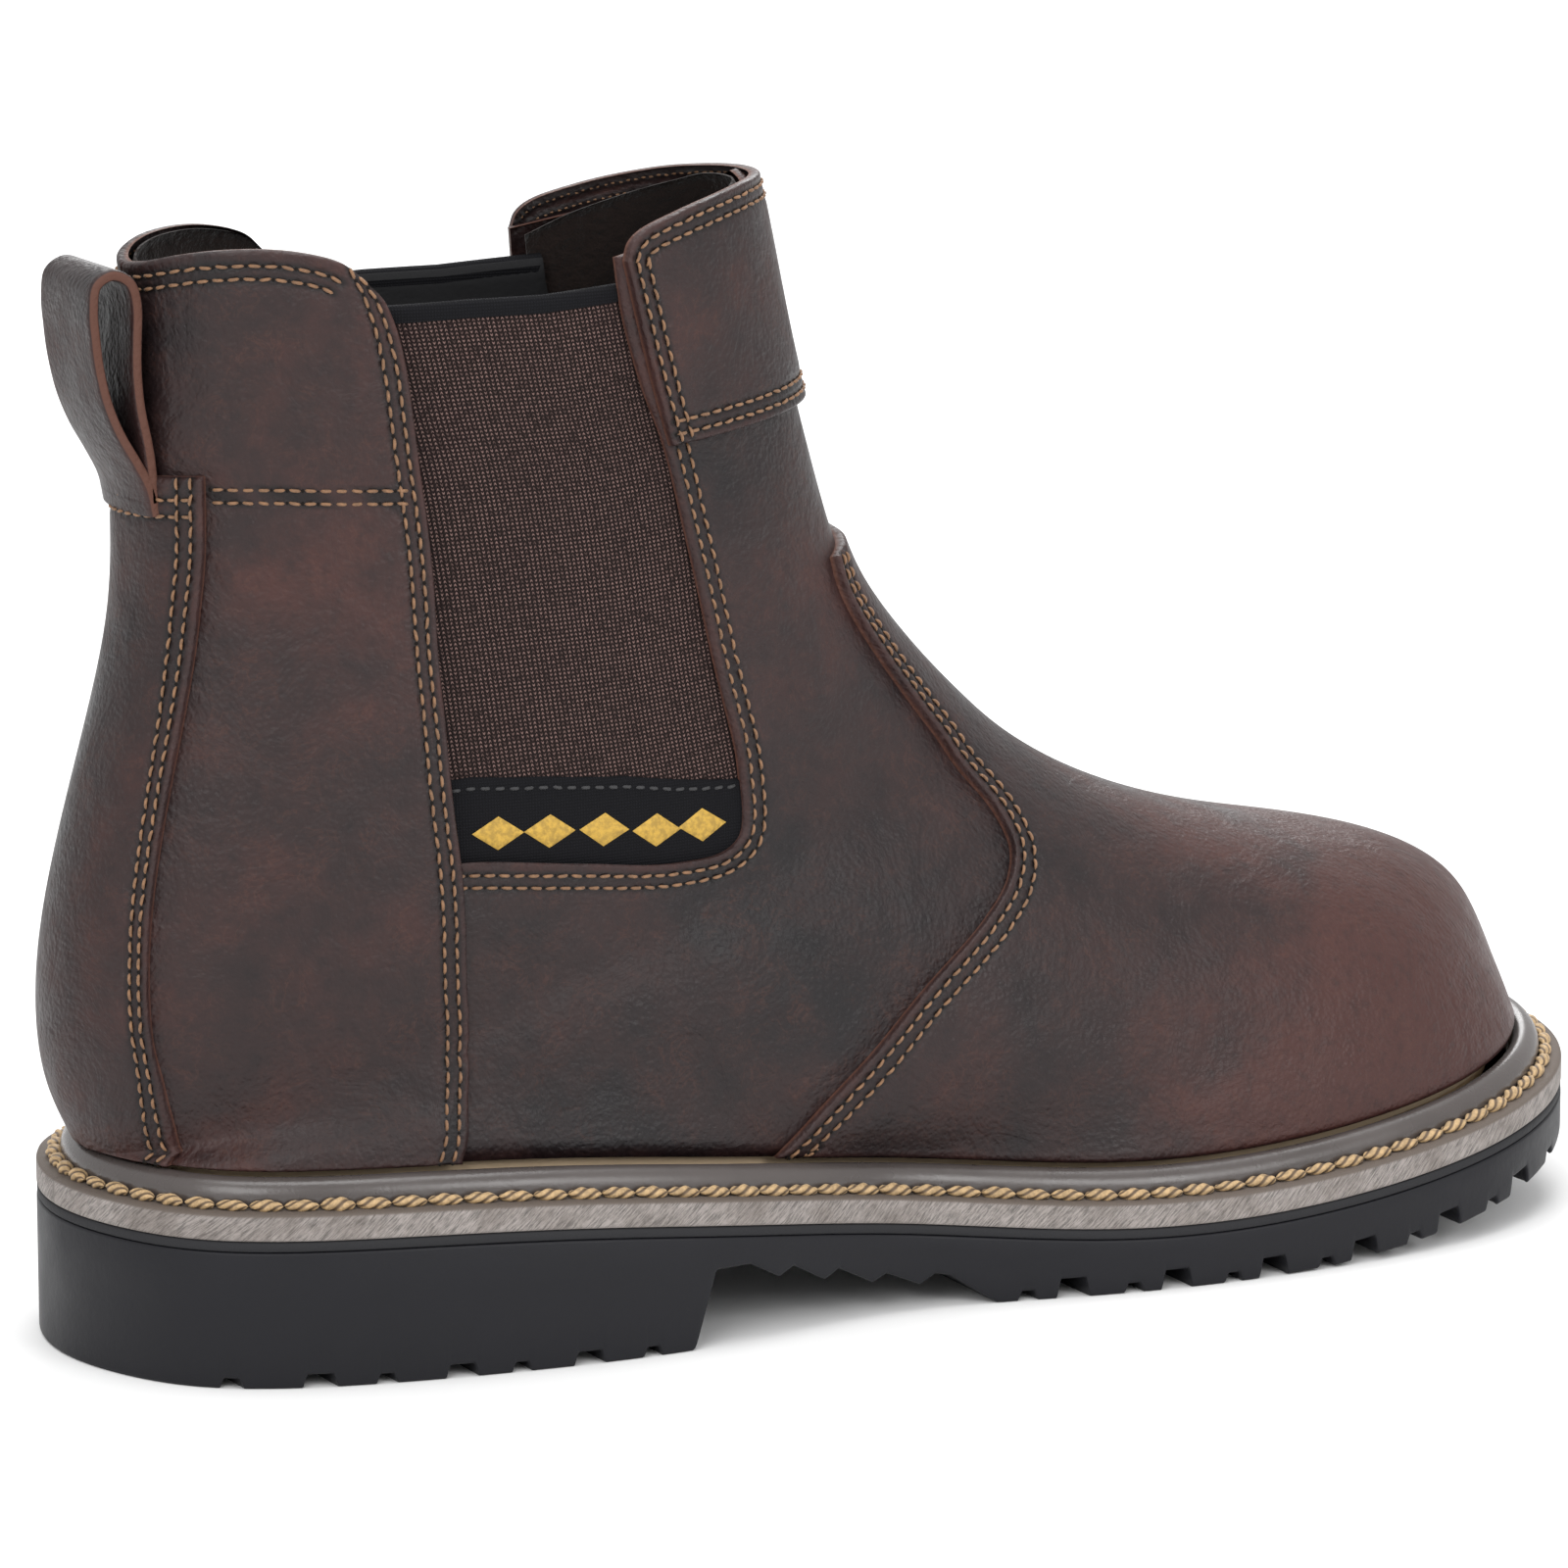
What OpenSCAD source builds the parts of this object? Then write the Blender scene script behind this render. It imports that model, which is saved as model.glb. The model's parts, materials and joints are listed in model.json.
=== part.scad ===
// Pull-on safety work boot for the right foot.
// The upper is a lofted surface: each section is a cubic arch that springs from the ridge of the boot
// and lands on the back seam (shaft) or on the feather edge, where the upper meets the welt (foot).
// A place on the upper is [s, t]: s is the section number, t runs from the ridge (0) to the landing (1).

/* [Overall] */
// Length of the sole from heel to toe
sole_length = 310; // [270:1:345]
// Width of the sole across the ball
sole_width = 113.6; // [98:0.1:132]
// Height of the front of the collar above the floor
collar_height = 204; // [170:1:245]

/* [Sole] */
// Thickness of the ground edge band
welt_t = 4.9; // [3:0.1:6]
// Thickness of the black slip layer under the welt
slip_t = 2; // [1:0.1:2.6]
// Height of the bead that closes the joint between welt and upper
bead_h = 5.4; // [4:0.1:8]
// Distance from the edge of the welt to the reference face of the upper
feather_inset = 10.8; // [9:0.1:14]
// Distance from the edge of the welt to the middle of its stitching
stitch_inset = 3.1; // [2.4:0.1:3.4]
// Number of stitches in the welt seam
stitch_count = 112; // [60:1:130]
// Depth of the side notches under the forepart
lug_depth = 3.6; // [2:0.1:4.5]
// Reach of the side notches towards the middle
lug_reach = 22; // [12:1:28]

/* [Leather and linings] */
// Thickness of the outer leather
leather_t = 1.8; // [1.2:0.1:2.2]
// Thickness of the linings
lining_t = 1; // [0.6:0.1:1.4]
// Space left between neighbouring layers
layer_gap = 0.3; // [0.2:0.05:0.5]

/* [Protection] */
// Thickness of the steel toe cap
steel_t = 1.8; // [1.2:0.1:2]
// Thickness of the heel counter
counter_t = 1.7; // [1:0.1:2]
// Thickness of the shank plate
shank_t = 1.2; // [0.8:0.1:1.4]
// Width of the shank plate
shank_w = 15; // [10:1:22]

/* [Gore] */
// Thickness of the elastic web
gore_t = 1.1; // [0.8:0.1:1.3]
// Thickness of the woven label
label_t = 0.6; // [0.3:0.1:0.8]

/* [Pull loop] */
// Width of the loop
loop_w = 23; // [16:1:30]
// Thickness of the loop strip
loop_t = 2; // [1.4:0.1:2.2]

/* [Footbed] */
// Thickness of the removable footbed
footbed_t = 4; // [3:0.5:6]
// Space left between the linings and the footbed
footbed_margin = 5.7; // [4.5:0.1:8]

/* [Hidden] */

// The shape lists below are drawn for these overall sizes and scaled to the driving ones
design_length = 310;
design_width = 113.6;
design_height = 204;
kx = sole_length / design_length;
ky = sole_width / design_width;
kz = collar_height / design_height;

// The frame stands under the middle of the sole
design_centre = [156.95, 2.53];
centre_x = design_centre.x * kx;
centre_y = design_centre.y * ky;

// Edge of the sole: control points of a closed spline, from the heel round the outer side to the toe
sole_points = [
    [0.5, 0], [7, -23], [20, -40], [55, -49], [111, -54], [150, -41], [190, -54], [235, -55], [276, -49],
    [302, -29], [313, -2], [313, 25], [293, 47], [254, 62], [208, 57], [157, 45], [112, 40], [57, 44],
    [20, 40], [7, 23]
];
sole_turns = len(sole_points);
toe_turn = 10.55;
sole_ctrl = [for (p = sole_points) [p.x * kx, p.y * ky]];

// Height of the top of the welt, one value every welt_step along the boot
welt_step = 40;
welt_heights = [31.8, 31.4, 30.6, 26, 19.6, 15.8, 17.6, 23.2, 29.8];

// Back seam from the collar down to the feather edge: [x, z]
back_line = [
    [20.5, 206], [20.5, 190], [20.5, 174], [20.7, 158], [21.2, 143], [20.5, 130], [17, 115], [12.5, 99],
    [8.3, 83], [5.8, 69], [5.4, 56], [6.6, 46], [9.8, 37.2]
];
back_rows = len(back_line) - 1;

// Sections: [ridge x, ridge z, landing, ridge y]. A landing below 0 counts rows up the back seam,
// one from 0 to 1 is the way along the feather edge from heel to toe.
stations = [
    [137, 210, -12, 0], [140.5, 196, -11, 0], [143, 182.5, -10, 0], [146, 169, -9, 0],
    [149.5, 156.5, -8, 0], [152.5, 145.5, -7, 0], [155.5, 135.5, -6, 0], [160, 126.5, -5, 0],
    [165.5, 119.5, -4, 0], [170, 114.5, -3, 0], [173.5, 111, -2, 1], [176.5, 108, -1, 1],
    [179, 105.5, 0, 1], [181.5, 103.5, 0, 1], [184, 101, 0, 2], [186.5, 98.5, 0.09, 2],
    [189.5, 96, 0.18, 2], [193.5, 93, 0.27, 3], [199, 89.3, 0.36, 3], [206.5, 85, 0.45, 4],
    [217, 80, 0.54, 5], [231, 75.5, 0.63, 6], [248, 72.5, 0.72, 7], [264, 69.5, 0.8, 8],
    [279.5, 65.5, 0.87, 9], [291, 60, 0.925, 10], [298, 52.5, 0.965, 10], [301, 43, 1, 10]
];
last_station = len(stations) - 1;

// Reach of the arch beside the ridge and beside the landing, against the section number
ridge_reach = [[0, 38], [3, 40], [6, 43], [9, 45], [12, 45], [15, 44], [18, 40], [21, 40], [27, 40]];
landing_reach = [[0, 40], [3, 43], [6, 48], [9, 54], [12, 56], [15, 54], [18, 54], [27, 54]];
// How much less the inner half of the shaft reaches out
inner_cut = [[0, 13], [3, 10], [6, 5], [9, 0], [27, 0]];
// Share of the section's length that the landing side may use
landing_share = 0.45;
// Fullness of the arch over the toes, and what the toe cap adds to it
toe_fullness = 0.74;
cap_fullness = 0.16;
// The heel is held closer to the edge of the welt
heel_inset_cut = 1.5;

// Seams, as lookup tables on the surface
quarter_edge = [
    [0, 0.65], [1, 0.65], [2, 0.625], [4, 0.621], [6, 0.612], [8, 0.594], [10, 0.594], [12, 0.606],
    [14, 0.64], [15.3, 0.71], [16.4, 0.83], [17.3, 1], [18, 1]
];
gore_front = [[0, 0.385], [2, 0.382], [3.5, 0.358], [6.3, 0.346], [8.4, 0.35], [10.4, 0.367], [16, 0.4]];
gore_floor = [[0, 5.2], [0.14, 6.4], [0.36, 10.5], [0.42, 10.7], [0.5, 9.55], [0.6, 8.6], [1, 8.6]];
gore_top = [[0.3, 1.4], [0.45, 1.42], [0.52, 1.36], [0.6, 1.32], [0.7, 1.3]];
// The same edge and the middle line it fans out to, against the way along the edge
fan_edge_s = [
    [0, 6.06], [0.08, 7.4], [0.2, 9.8], [0.3, 12.2], [0.4, 14.1], [0.47, 15.6], [0.53, 16.8], [0.6, 17.7],
    [0.66, 18.15], [0.72, 18.32], [0.8, 18.44], [0.88, 18.56], [1, 18.7]
];
fan_edge_t = [
    [0, 0.133], [0.08, 0.146], [0.2, 0.149], [0.3, 0.152], [0.4, 0.162], [0.47, 0.197], [0.53, 0.25],
    [0.6, 0.333], [0.66, 0.42], [0.72, 0.53], [0.8, 0.69], [0.88, 0.83], [1, 1]
];
fan_ridge_s = [[0, 5.85], [0.4, 14.1], [0.84, 27], [1, 27]];
fan_ridge_t = [[0, 0], [0.84, 0], [1, 1]];
vamp_edge = [for (i = [0:len(fan_edge_s) - 1]) [fan_edge_t[i][1], fan_edge_s[i][1]]];
rear_top = [[0.6, 1], [0.66, 0.86], [0.717, 0.62], [0.77, 0.52], [0.82, 0.52], [0.89, 0.57], [1, 0.72]];
front_top = [[0, 0.42], [0.175, 0.42], [0.29, 0.57], [0.34, 0.72], [0.4, 0.95]];
band_floor = 3.5;
strap_edge = [[3.2, 0.855], [4.6, 0.866], [9, 0.862], [10.7, 0.858], [13, 0.88]];
rear_top_s = [1, 0.72];
// Power that fades the curve of the top edge out over the rows below it
crest_fade = 6;
// Where the grids of the heel leave the sections: section of the back seam, and for each piece the
// section of its edge and the place where that edge lands on the feather edge
seam_cup = 10.2;
quarter_cup = [13.8, 0.303];
strap_cup = [11.6, 0.13];
counter_cup = [12.4, 0.19];
lining_cup = [13.4, 0.27];
back_seam_q = 0.001;
cup_count = 4;
label_top = [[0.3, 9.5], [0.354, 9.46], [0.462, 8.21], [0.529, 7.76], [0.588, 7.41], [0.7, 7.3]];
strap_top = 3.25;
// Ends of the gore in t where no section is known yet, and the share of the vamp's edge behind the gore
gore_guess = [0.37, 0.6];
quarter_guess = [0.37, 0.62];
end_guess = [0.4, 1];
// How far the gore and its backing run on under the quarters, in sections and in t
lap_s = 0.9;
lap_t = 0.03;
window_margin_t = 0.045;
gore_side_gap = 0.016;
quarter_side_gap = 0.021;
// Upper and lower edge of the binding above the top of the gore, in sections
binding_span = [0.22, 0.02];
// Gap between panels that meet edge to edge, and between the linings, in sections
butt_gap_s = 0.3;
butt_gap_t = 0.04;
lining_gap_s = 0.45;
label_gap_s = 0.4;
back_seam_t = 0.996;
cap_start = 21.4;
strip_width_s = 0.45;
strip_gap_s = 0.04;
counter_top = 8.4;
lining_step = [6.2, 7.4];

// Depth of the inner layers under the reference face
cap_depth = 0.8;
counter_depth = 0.7;
lining_depth = cap_depth + steel_t + 3 * layer_gap;

// Offsets of the layers from the reference face
upper_layer = [layer_gap, layer_gap + leather_t];
strap_layer = [2 * layer_gap + leather_t, 2 * layer_gap + 2 * leather_t];
quarter_layer = [-leather_t, 0];
gore_layer = [-leather_t - layer_gap - gore_t, -leather_t - layer_gap];
backing_layer = [gore_layer[0] - layer_gap - lining_t, gore_layer[0] - layer_gap];
label_layer = [gore_layer[1] + layer_gap / 2, gore_layer[1] + layer_gap / 2 + label_t];
cap_layer = [-cap_depth - steel_t, -cap_depth];
counter_layer = [-counter_depth - counter_t, -counter_depth];
lining_layer = [-lining_depth - lining_t, -lining_depth];
front_lining_layer = [quarter_layer[0] - layer_gap - lining_t, quarter_layer[0] - layer_gap];
shaft_lining_layer = [-layer_gap / 2 - lining_t, -layer_gap / 2];
binding_layer = [backing_layer[0] - layer_gap / 2, gore_layer[1] + layer_gap / 2];

normal_step = 0.5;
// Rows round the heel's corner, and the middle of the rounded heel
corner_rows = [9.5, 17];
cup_centre = 46;
upright_height = 10;
outline_n = 120;
profile_n = 48;
far = 400;

dark_brown = [0.23, 0.14, 0.11];
red_brown = [0.30, 0.15, 0.11];
rubber_black = [0.09, 0.09, 0.10];
bead_brown = [0.30, 0.26, 0.22];
edge_grey = [0.55, 0.51, 0.48];
thread_gold = [0.70, 0.56, 0.35];
steel_grey = [0.62, 0.64, 0.66];
web_brown = [0.26, 0.19, 0.17];
deep_black = [0.05, 0.05, 0.06];
cork_tan = [0.66, 0.48, 0.30];
board_tan = [0.74, 0.62, 0.46];
felt_dark = [0.14, 0.12, 0.11];

// ---------- curves ----------

function mix(a, b, w) = a + (b - a) * w;

function limit(v, low, high) = max(low, min(high, v));

function ease(w) = let (c = limit(w, 0, 1)) c * c * (3 - 2 * c);

// Uniform cubic spline over four neighbouring control values
function spline_blend(a, b, c, d, t) =
    (pow(1 - t, 3) * a + (3 * pow(t, 3) - 6 * t * t + 4) * b
    + (-3 * pow(t, 3) + 3 * t * t + 3 * t + 1) * c + pow(t, 3) * d) / 6;

// Slope of the same spline
function spline_slope(a, b, c, d, t) =
    (-3 * pow(1 - t, 2) * a + (9 * t * t - 12 * t) * b + (-9 * t * t + 6 * t + 3) * c + 3 * t * t * d) / 6;

// Open spline that starts and ends on its first and last control values
function spline(k, u) =
    let (n = len(k) - 1,
        c = limit(u, 0, n - 0.000001),
        i = floor(c),
        before = i > 0 ? k[i - 1] : 2 * k[0] - k[1],
        after = i + 2 <= n ? k[i + 2] : 2 * k[n] - k[n - 1])
    spline_blend(before, k[i], k[i + 1], after, c - i);

function ctrl(i) = sole_ctrl[(i + sole_turns) % sole_turns];

// Point and outward normal of the sole's edge at spline position u
function sole_edge(u) =
    let (i = floor(u),
        t = u - i,
        p = spline_blend(ctrl(i - 1), ctrl(i), ctrl(i + 1), ctrl(i + 2), t),
        d = spline_slope(ctrl(i - 1), ctrl(i), ctrl(i + 1), ctrl(i + 2), t))
    [p, [d.y, -d.x] / norm(d)];

// Closed outline of the sole, moved inwards
function sole_outline(inset, n = outline_n) =
    [for (i = [0:n - 1]) let (e = sole_edge(i * sole_turns / n)) e[0] - e[1] * inset];

function welt_z(x) = spline(welt_heights, x / (welt_step * kx)) * kz;

// ---------- surface of the upper ----------

// Feather edge on one side (-1 outer, 1 inner): point and outward normal
function feather(q, side) =
    let (e = sole_edge(side < 0 ? q * toe_turn : sole_turns - q * (sole_turns - toe_turn)),
        inset = feather_inset - heel_inset_cut * pow(limit(1 - q / 0.15, 0, 1), 2),
        p = e[0] - e[1] * inset)
    [[p.x, p.y, welt_z(e[0].x) + bead_h], e[1]];

function heel_corner() = feather(0, -1)[0];

// Back seam, pulled onto the feather edge over its lowest rows
function back_seam(q) =
    let (p = spline(back_line, back_rows + q),
        low = back_line[back_rows],
        w = pow(limit(1 + q / 3, 0, 1), 2),
        c = heel_corner())
    [p.x * kx + (c.x - low.x * kx) * w, 0, p[1] * kz + (c.z - low[1] * kz) * w];

// Four control points of the arch of section s
function section(s, side) =
    let (st = spline(stations, s),
        q = st[2],
        ridge = [st[0] * kx, st[3] * ky, st[1] * kz],
        rim = feather(limit(q, 0, 1), side),
        land = q <= 0 ? back_seam(q) : rim[0],
        normal = q <= 0 ? [-1, 0] : rim[1],
        flat = [land.x - ridge.x, 0, land.z - ridge.z],
        span = norm(flat),
        along = flat / span,
        outward = [0, side, 0],
        reach_y = abs(land.y - ridge.y),
        fore = ease((q - 0.36) / 0.27),
        full = toe_fullness + cap_fullness * limit((q - 0.8) / 0.12, 0, 1),
        cut = side > 0 ? lookup(s, inner_cut) * ky : 0,
        ridge_out = mix(lookup(s, ridge_reach) * ky - cut, full * reach_y, fore),
        down = q > 0.5 ? 1 : abs(normal.y),
        sideways = q > 0.5 ? 0 : abs(normal.x * along.x),
        total = norm([down, sideways]),
        room = (lookup(s, landing_reach) * ky - cut - reach_y) / max(sideways / total, 0.02),
        cap = (landing_share + 0.05 * fore) * span,
        pull = pow(pow(max(cap, 0.001), -4) + pow(max(room, 0.001), -4), -0.25))
    [ridge, ridge + ridge_out * outward,
        land - pull * down / total * along + pull * sideways / total * outward, land];

function arch(c, t) =
    pow(1 - t, 3) * c[0] + 3 * pow(1 - t, 2) * t * c[1] + 3 * (1 - t) * t * t * c[2] + pow(t, 3) * c[3];

function arch_slope(c, t) =
    3 * pow(1 - t, 2) * (c[1] - c[0]) + 6 * (1 - t) * t * (c[2] - c[1]) + 3 * t * t * (c[3] - c[2]);

// Outward unit normal. It points away from the middle of the heel in the rows round the heel's corner,
// which lie close together, and turns level near the feather edge, where the leather stands on the bead.
function surface_normal(s, t, side, p) =
    let (ahead = arch(section(min(s + normal_step, last_station), side), t),
        behind = arch(section(max(s - normal_step, 0), side), t),
        slope = arch_slope(section(s, side), limit(t, 0.002, 0.998)),
        raw = cross(ahead - behind, slope) * side,
        cup = ease((s - corner_rows[0]) / 2) * ease((corner_rows[1] - s) / 1.5) * ease((t - 0.5) / 0.2),
        round = [min(p.x - cup_centre * kx, -0.001), p.y, 0],
        unit = mix(raw / max(norm(raw), 0.000001), round / norm(round), cup),
        lift = p.z - welt_z(p.x) - bead_h,
        level = s > 4 ? limit(lift / upright_height, 0, 1) : 1,
        mid = s > last_station - 0.001 ? 0 : 1,
        soft = [unit.x, unit.y * mid, unit.z * level])
    soft / norm(soft);

// Point of the reference face and its normal; a t below 0 lies on the outer side of the boot and one
// above 0 on the inner side. Past -1 the point has gone round the back seam to the inner side.
function frame_at(s, signed_t) =
    let (side = signed_t < -1 || signed_t > 0 ? 1 : -1,
        t = signed_t < -1 ? 2 + signed_t : abs(signed_t),
        p = arch(section(s, side), t))
    [p - [centre_x, centre_y, 0], surface_normal(s, t, side, p)];

function frames(places) = [for (row = places) [for (p = row) frame_at(p[0], p[1])]];

// Point and level normal on the feather edge
function feather_frame(q, side) =
    let (f = feather(q, side))
    [f[0] - [centre_x, centre_y, 0], [f[1].x, f[1].y, 0]];

// Rows that carry a grid from its last row down to the feather edge, round the cup of the heel
function cup_rows(grid, floor_row, count) =
    let (last = len(grid) - 1)
    [for (i = [1:count])
        [for (j = [0:len(floor_row) - 1])
            let (v = i / count,
                a = grid[last][j],
                b = floor_row[j],
                lead = (a[0] - grid[last - 1][j][0]) * count,
                n = mix(a[1], b[1], v))
            [mix(a[0], b[0], v) + (lead - b[0] + a[0]) * v * (1 - v) * (1 - v), n / norm(n)]]];

// ---------- solids from grids of frames ----------

// Closed shell over a grid of frames. keep(i, j) tells which cells exist. When fold_end is set the last
// row closes on itself at the toe. drop(i) moves row i inwards.
module shell(grid, layer, keep = function (i, j) true, fold_end = false, drop = function (i) 0) {
    rows = len(grid);
    cols = len(grid[0]);
    count = rows * cols;
    points = [
        for (o = [1, 0]) for (i = [0:rows - 1]) for (f = grid[i]) f[0] + f[1] * (layer[o] + drop(i))
    ];
    there = function (i, j) i >= 0 && j >= 0 && i < rows - 1 && j < cols - 1 && keep(i, j);
    folded = function (i, j) fold_end && i == rows - 1 && j > (cols - 1) / 2;
    at = function (i, j) i * cols + (folded(i, j) ? cols - 1 - j : j);
    cells = [for (i = [0:rows - 2]) for (j = [0:cols - 2]) if (there(i, j)) [i, j]];
    faces = [
        for (c = cells)
            let (i = c[0], j = c[1], a = at(i, j), b = at(i, j + 1), d = at(i + 1, j), e = at(i + 1, j + 1))
            each concat(
                [[a, b, e], [a, e, d], [count + a, count + e, count + b], [count + a, count + d, count + e]],
                there(i - 1, j) ? [] : [[b, a, count + a], [b, count + a, count + b]],
                there(i + 1, j) || (fold_end && i == rows - 2)
                    ? [] : [[d, e, count + e], [d, count + e, count + d]],
                there(i, j - 1) ? [] : [[a, d, count + d], [a, count + d, count + a]],
                there(i, j + 1) ? [] : [[e, b, count + b], [e, count + b, count + e]]
            )
    ];
    polyhedron(points = points, faces = faces, convexity = 8);
}

function steps(n) = [for (i = [0:n]) i / n];

function both_sides(n) = [for (i = [-n:n]) i / n];

// Grid with its columns in the other order, so that they always run the same way round the boot
function turned(places) = [for (row = places) [for (j = [len(row) - 1:-1:0]) row[j]]];

// Grid of the front quarter: w is the way from the ridge (0) to the rear edge (1); the gore sits behind
// quarter_split. gore_margin widens the gore's window and rear_shift moves the rear edge.
quarter_split = 0.5;

function quarter_mix(w, front, rear) =
    w <= quarter_split
        ? front * w / quarter_split
        : mix(front, rear, (w - quarter_split) / (1 - quarter_split));

function quarter_place(w, down, low, margin, rear_shift, end_shift) =
    let (guess = quarter_mix(w, quarter_guess[0], quarter_guess[1]),
        floor_s = lookup(guess, gore_floor) + margin[1],
        end_t = max(0, quarter_mix(w, end_guess[0], end_guess[1]) - butt_gap_t),
        end_s = lookup(end_t, vamp_edge) + end_shift,
        s = low == 0 ? mix(lookup(guess, front_top), floor_s, down) : mix(floor_s, end_s, low))
    [s, quarter_mix(w, lookup(s, gore_front) - margin[0], min(1, lookup(s, quarter_edge) + rear_shift))];

module quarter_shell(layer, margin, rear_shift, end_shift) {
    half_cols = 20;
    upper_rows = 10;
    lower_rows = 13;
    places = [
        for (row = [0:upper_rows + lower_rows])
            [for (w = both_sides(half_cols))
                let (down = min(1, row / upper_rows),
                    low = max(0, row - upper_rows) / lower_rows,
                    p = quarter_place(abs(w), down, low, margin, rear_shift, end_shift))
                [p[0], sign(w) * p[1]]]
    ];
    split_col = half_cols * quarter_split;
    shell(frames(places), layer,
        keep = function (i, j) i >= upper_rows || (j >= half_cols - split_col && j < half_cols + split_col));
}

// Piece that closes over the toes as a fan from its rear edge to the ridge and the line down the toe.
// u runs along the rear edge from the shin (0) to the feather edge (1).
module fan_shell(shift, layer, rows, half_cols) {
    places = [
        for (i = [0:rows])
            [for (v = both_sides(half_cols))
                let (u = i / rows,
                    middle = [lookup(u, fan_ridge_s), lookup(u, fan_ridge_t)],
                    edge = [lookup(u, fan_edge_s) + shift, lookup(u, fan_edge_t)],
                    p = mix(middle, edge, abs(v)))
                [p[0], v > 0 ? p[1] : -p[1]]]
    ];
    shell(frames(places), layer);
}

// Piece that closes over the toes; start gives its rear edge as s for a given t
module toe_shell(start, layer, rows, half_cols) {
    places = [
        for (i = [0:rows])
            [for (r = both_sides(half_cols)) [mix(start(abs(r)), last_station, i / rows), r]]
    ];
    shell(frames(places), layer, fold_end = true);
}

// Rear quarter of one side; rows follow the front edge down to the feather edge
module rear_quarter(side, layer) {
    rows = 14;
    cols = 7;
    places = [
        for (i = [0:rows])
            [for (w = steps(cols))
                let (edge_s = mix(rear_top_s[0], quarter_cup[0], i / rows),
                    edge_t = lookup(edge_s, quarter_edge),
                    seam_s = mix(rear_top_s[1], seam_cup, i / rows),
                    t = mix(edge_t, back_seam_t, w),
                    level = mix(rear_top_s[0], rear_top_s[1], w),
                    crest = pow(1 - i / rows, crest_fade) * (lookup(t, rear_top) - level))
                [mix(edge_s, seam_s, w) + crest, side * t]]
    ];
    wall = frames(places);
    floor_row = [for (w = steps(cols)) feather_frame(mix(quarter_cup[1], back_seam_q, w), side)];
    grid = concat(wall, cup_rows(wall, floor_row, cup_count));
    shell(side < 0 ? turned(grid) : grid, layer);
}

// Piece that wraps the back seam: edge tells t for a given s, cup holds the section where the grid
// leaves the sections for the cup of the heel and the place on the feather edge where its edge lands
module back_wrap(edge, top, cup, layer, rows, half_cols, drop = function (s) 0) {
    places = [
        for (i = [0:rows])
            [for (w = both_sides(half_cols))
                let (edge_s = mix(top, cup[0], i / rows),
                    seam_s = mix(top, seam_cup, i / rows),
                    t = mix(1, lookup(edge_s, edge), abs(w)))
                [mix(seam_s, edge_s, abs(w)), w < 0 ? t - 2 : -t]]
    ];
    wall = frames(places);
    floor_row = [for (w = both_sides(half_cols)) feather_frame(cup[1] * abs(w), w < 0 ? 1 : -1)];
    shell(concat(wall, cup_rows(wall, floor_row, cup_count)), layer,
        drop = function (i) drop(mix(top, seam_cup, i / rows)));
}

// Elastic panel of one side, between two t edges and two s edges
module side_panel(side, layer, top, bottom, front_shift, rear_shift, rows = 10, cols = 6) {
    places = [
        for (i = [0:rows])
            [for (w = steps(cols))
                let (guess = mix(gore_guess[0], gore_guess[1], w),
                    s = mix(top(guess), bottom(guess), i / rows),
                    front = lookup(s, gore_front) + front_shift,
                    rear = lookup(s, quarter_edge) + rear_shift)
                [s, side * mix(front, rear, w)]]
    ];
    shell(frames(side < 0 ? turned(places) : places), layer);
}

// ---------- solids of the sole ----------

module at_frame() {
    translate([-centre_x, -centre_y, 0])
        children();
}

// Slab between two heights above the top of the welt, inside a moved outline
module sole_slab(inset, low, high) {
    xs = [for (i = [0:profile_n]) mix(-10, sole_length + 12, i / profile_n)];
    intersection() {
        linear_extrude(height = far)
            polygon(sole_outline(inset));
        rotate([90, 0, 0])
            linear_extrude(height = far, center = true)
                polygon(concat(
                    [for (x = xs) [x, welt_z(x) + low]],
                    [for (i = [profile_n:-1:0]) [xs[i], welt_z(xs[i]) + high]]));
    }
}

// Underside of the outsole from heel to toe: [x, z]
heel_front = [104.2, 108.7];
arch_z = 14.2;
arch_start = 116;
ridge_pitch = 10.1;
ridge_count = 4;
ridge_lead = 6.3;
ridge_drop = 3.3;
ridge_rise = 1.5;
ridge_run = 3.1;
arch_drop = 2.1;
arch_end = [158.6, 5.9];
fore_start = 167.4;
toe_spring = [
    [215, 0], [235, 0.4], [250, 1.8], [265, 3.8], [281, 6.6], [296, 10.4], [312, 15.4], [330, 21.5]
];
underside = concat(
    [[-10, 0], [heel_front[0], 0], [heel_front[1], arch_z], [arch_start, arch_z]],
    [for (i = [0:ridge_count - 1])
        let (tip_x = arch_start + ridge_lead + i * ridge_pitch, tip_z = arch_z - ridge_drop - i * arch_drop)
        each [[tip_x, tip_z], [tip_x + ridge_run, tip_z + ridge_rise]]],
    [arch_end, [fore_start, 0]],
    toe_spring
);

heel_notches = [20.7, 46.5, 70.9, 95.9];
heel_gaps = [35, 60, 83.6];
fore_pitch = 20;
wide_start = 181.6;
small_start = 173.2;
fore_count = 6;
notch_w = 3;
gap_w = 5.2;
heel_gap_depth = 2.4;
small_depth = 1.8;

ground_edge = sole_outline(0, 200);
outer_edge = [for (p = ground_edge) if (p.y < 0) p];
inner_edge = [for (p = ground_edge) if (p.y > 0) p];

// One notch on each side of the sole
module side_notch(x, w, depth, z, reach) {
    translate([(x - w / 2) * kx, lookup(x * kx, outer_edge) - far, z - far])
        cube([w * kx, far + reach, far + depth]);
    translate([(x - w / 2) * kx, lookup(x * kx, inner_edge) - reach, z - far])
        cube([w * kx, far + reach, far + depth]);
}

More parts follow.
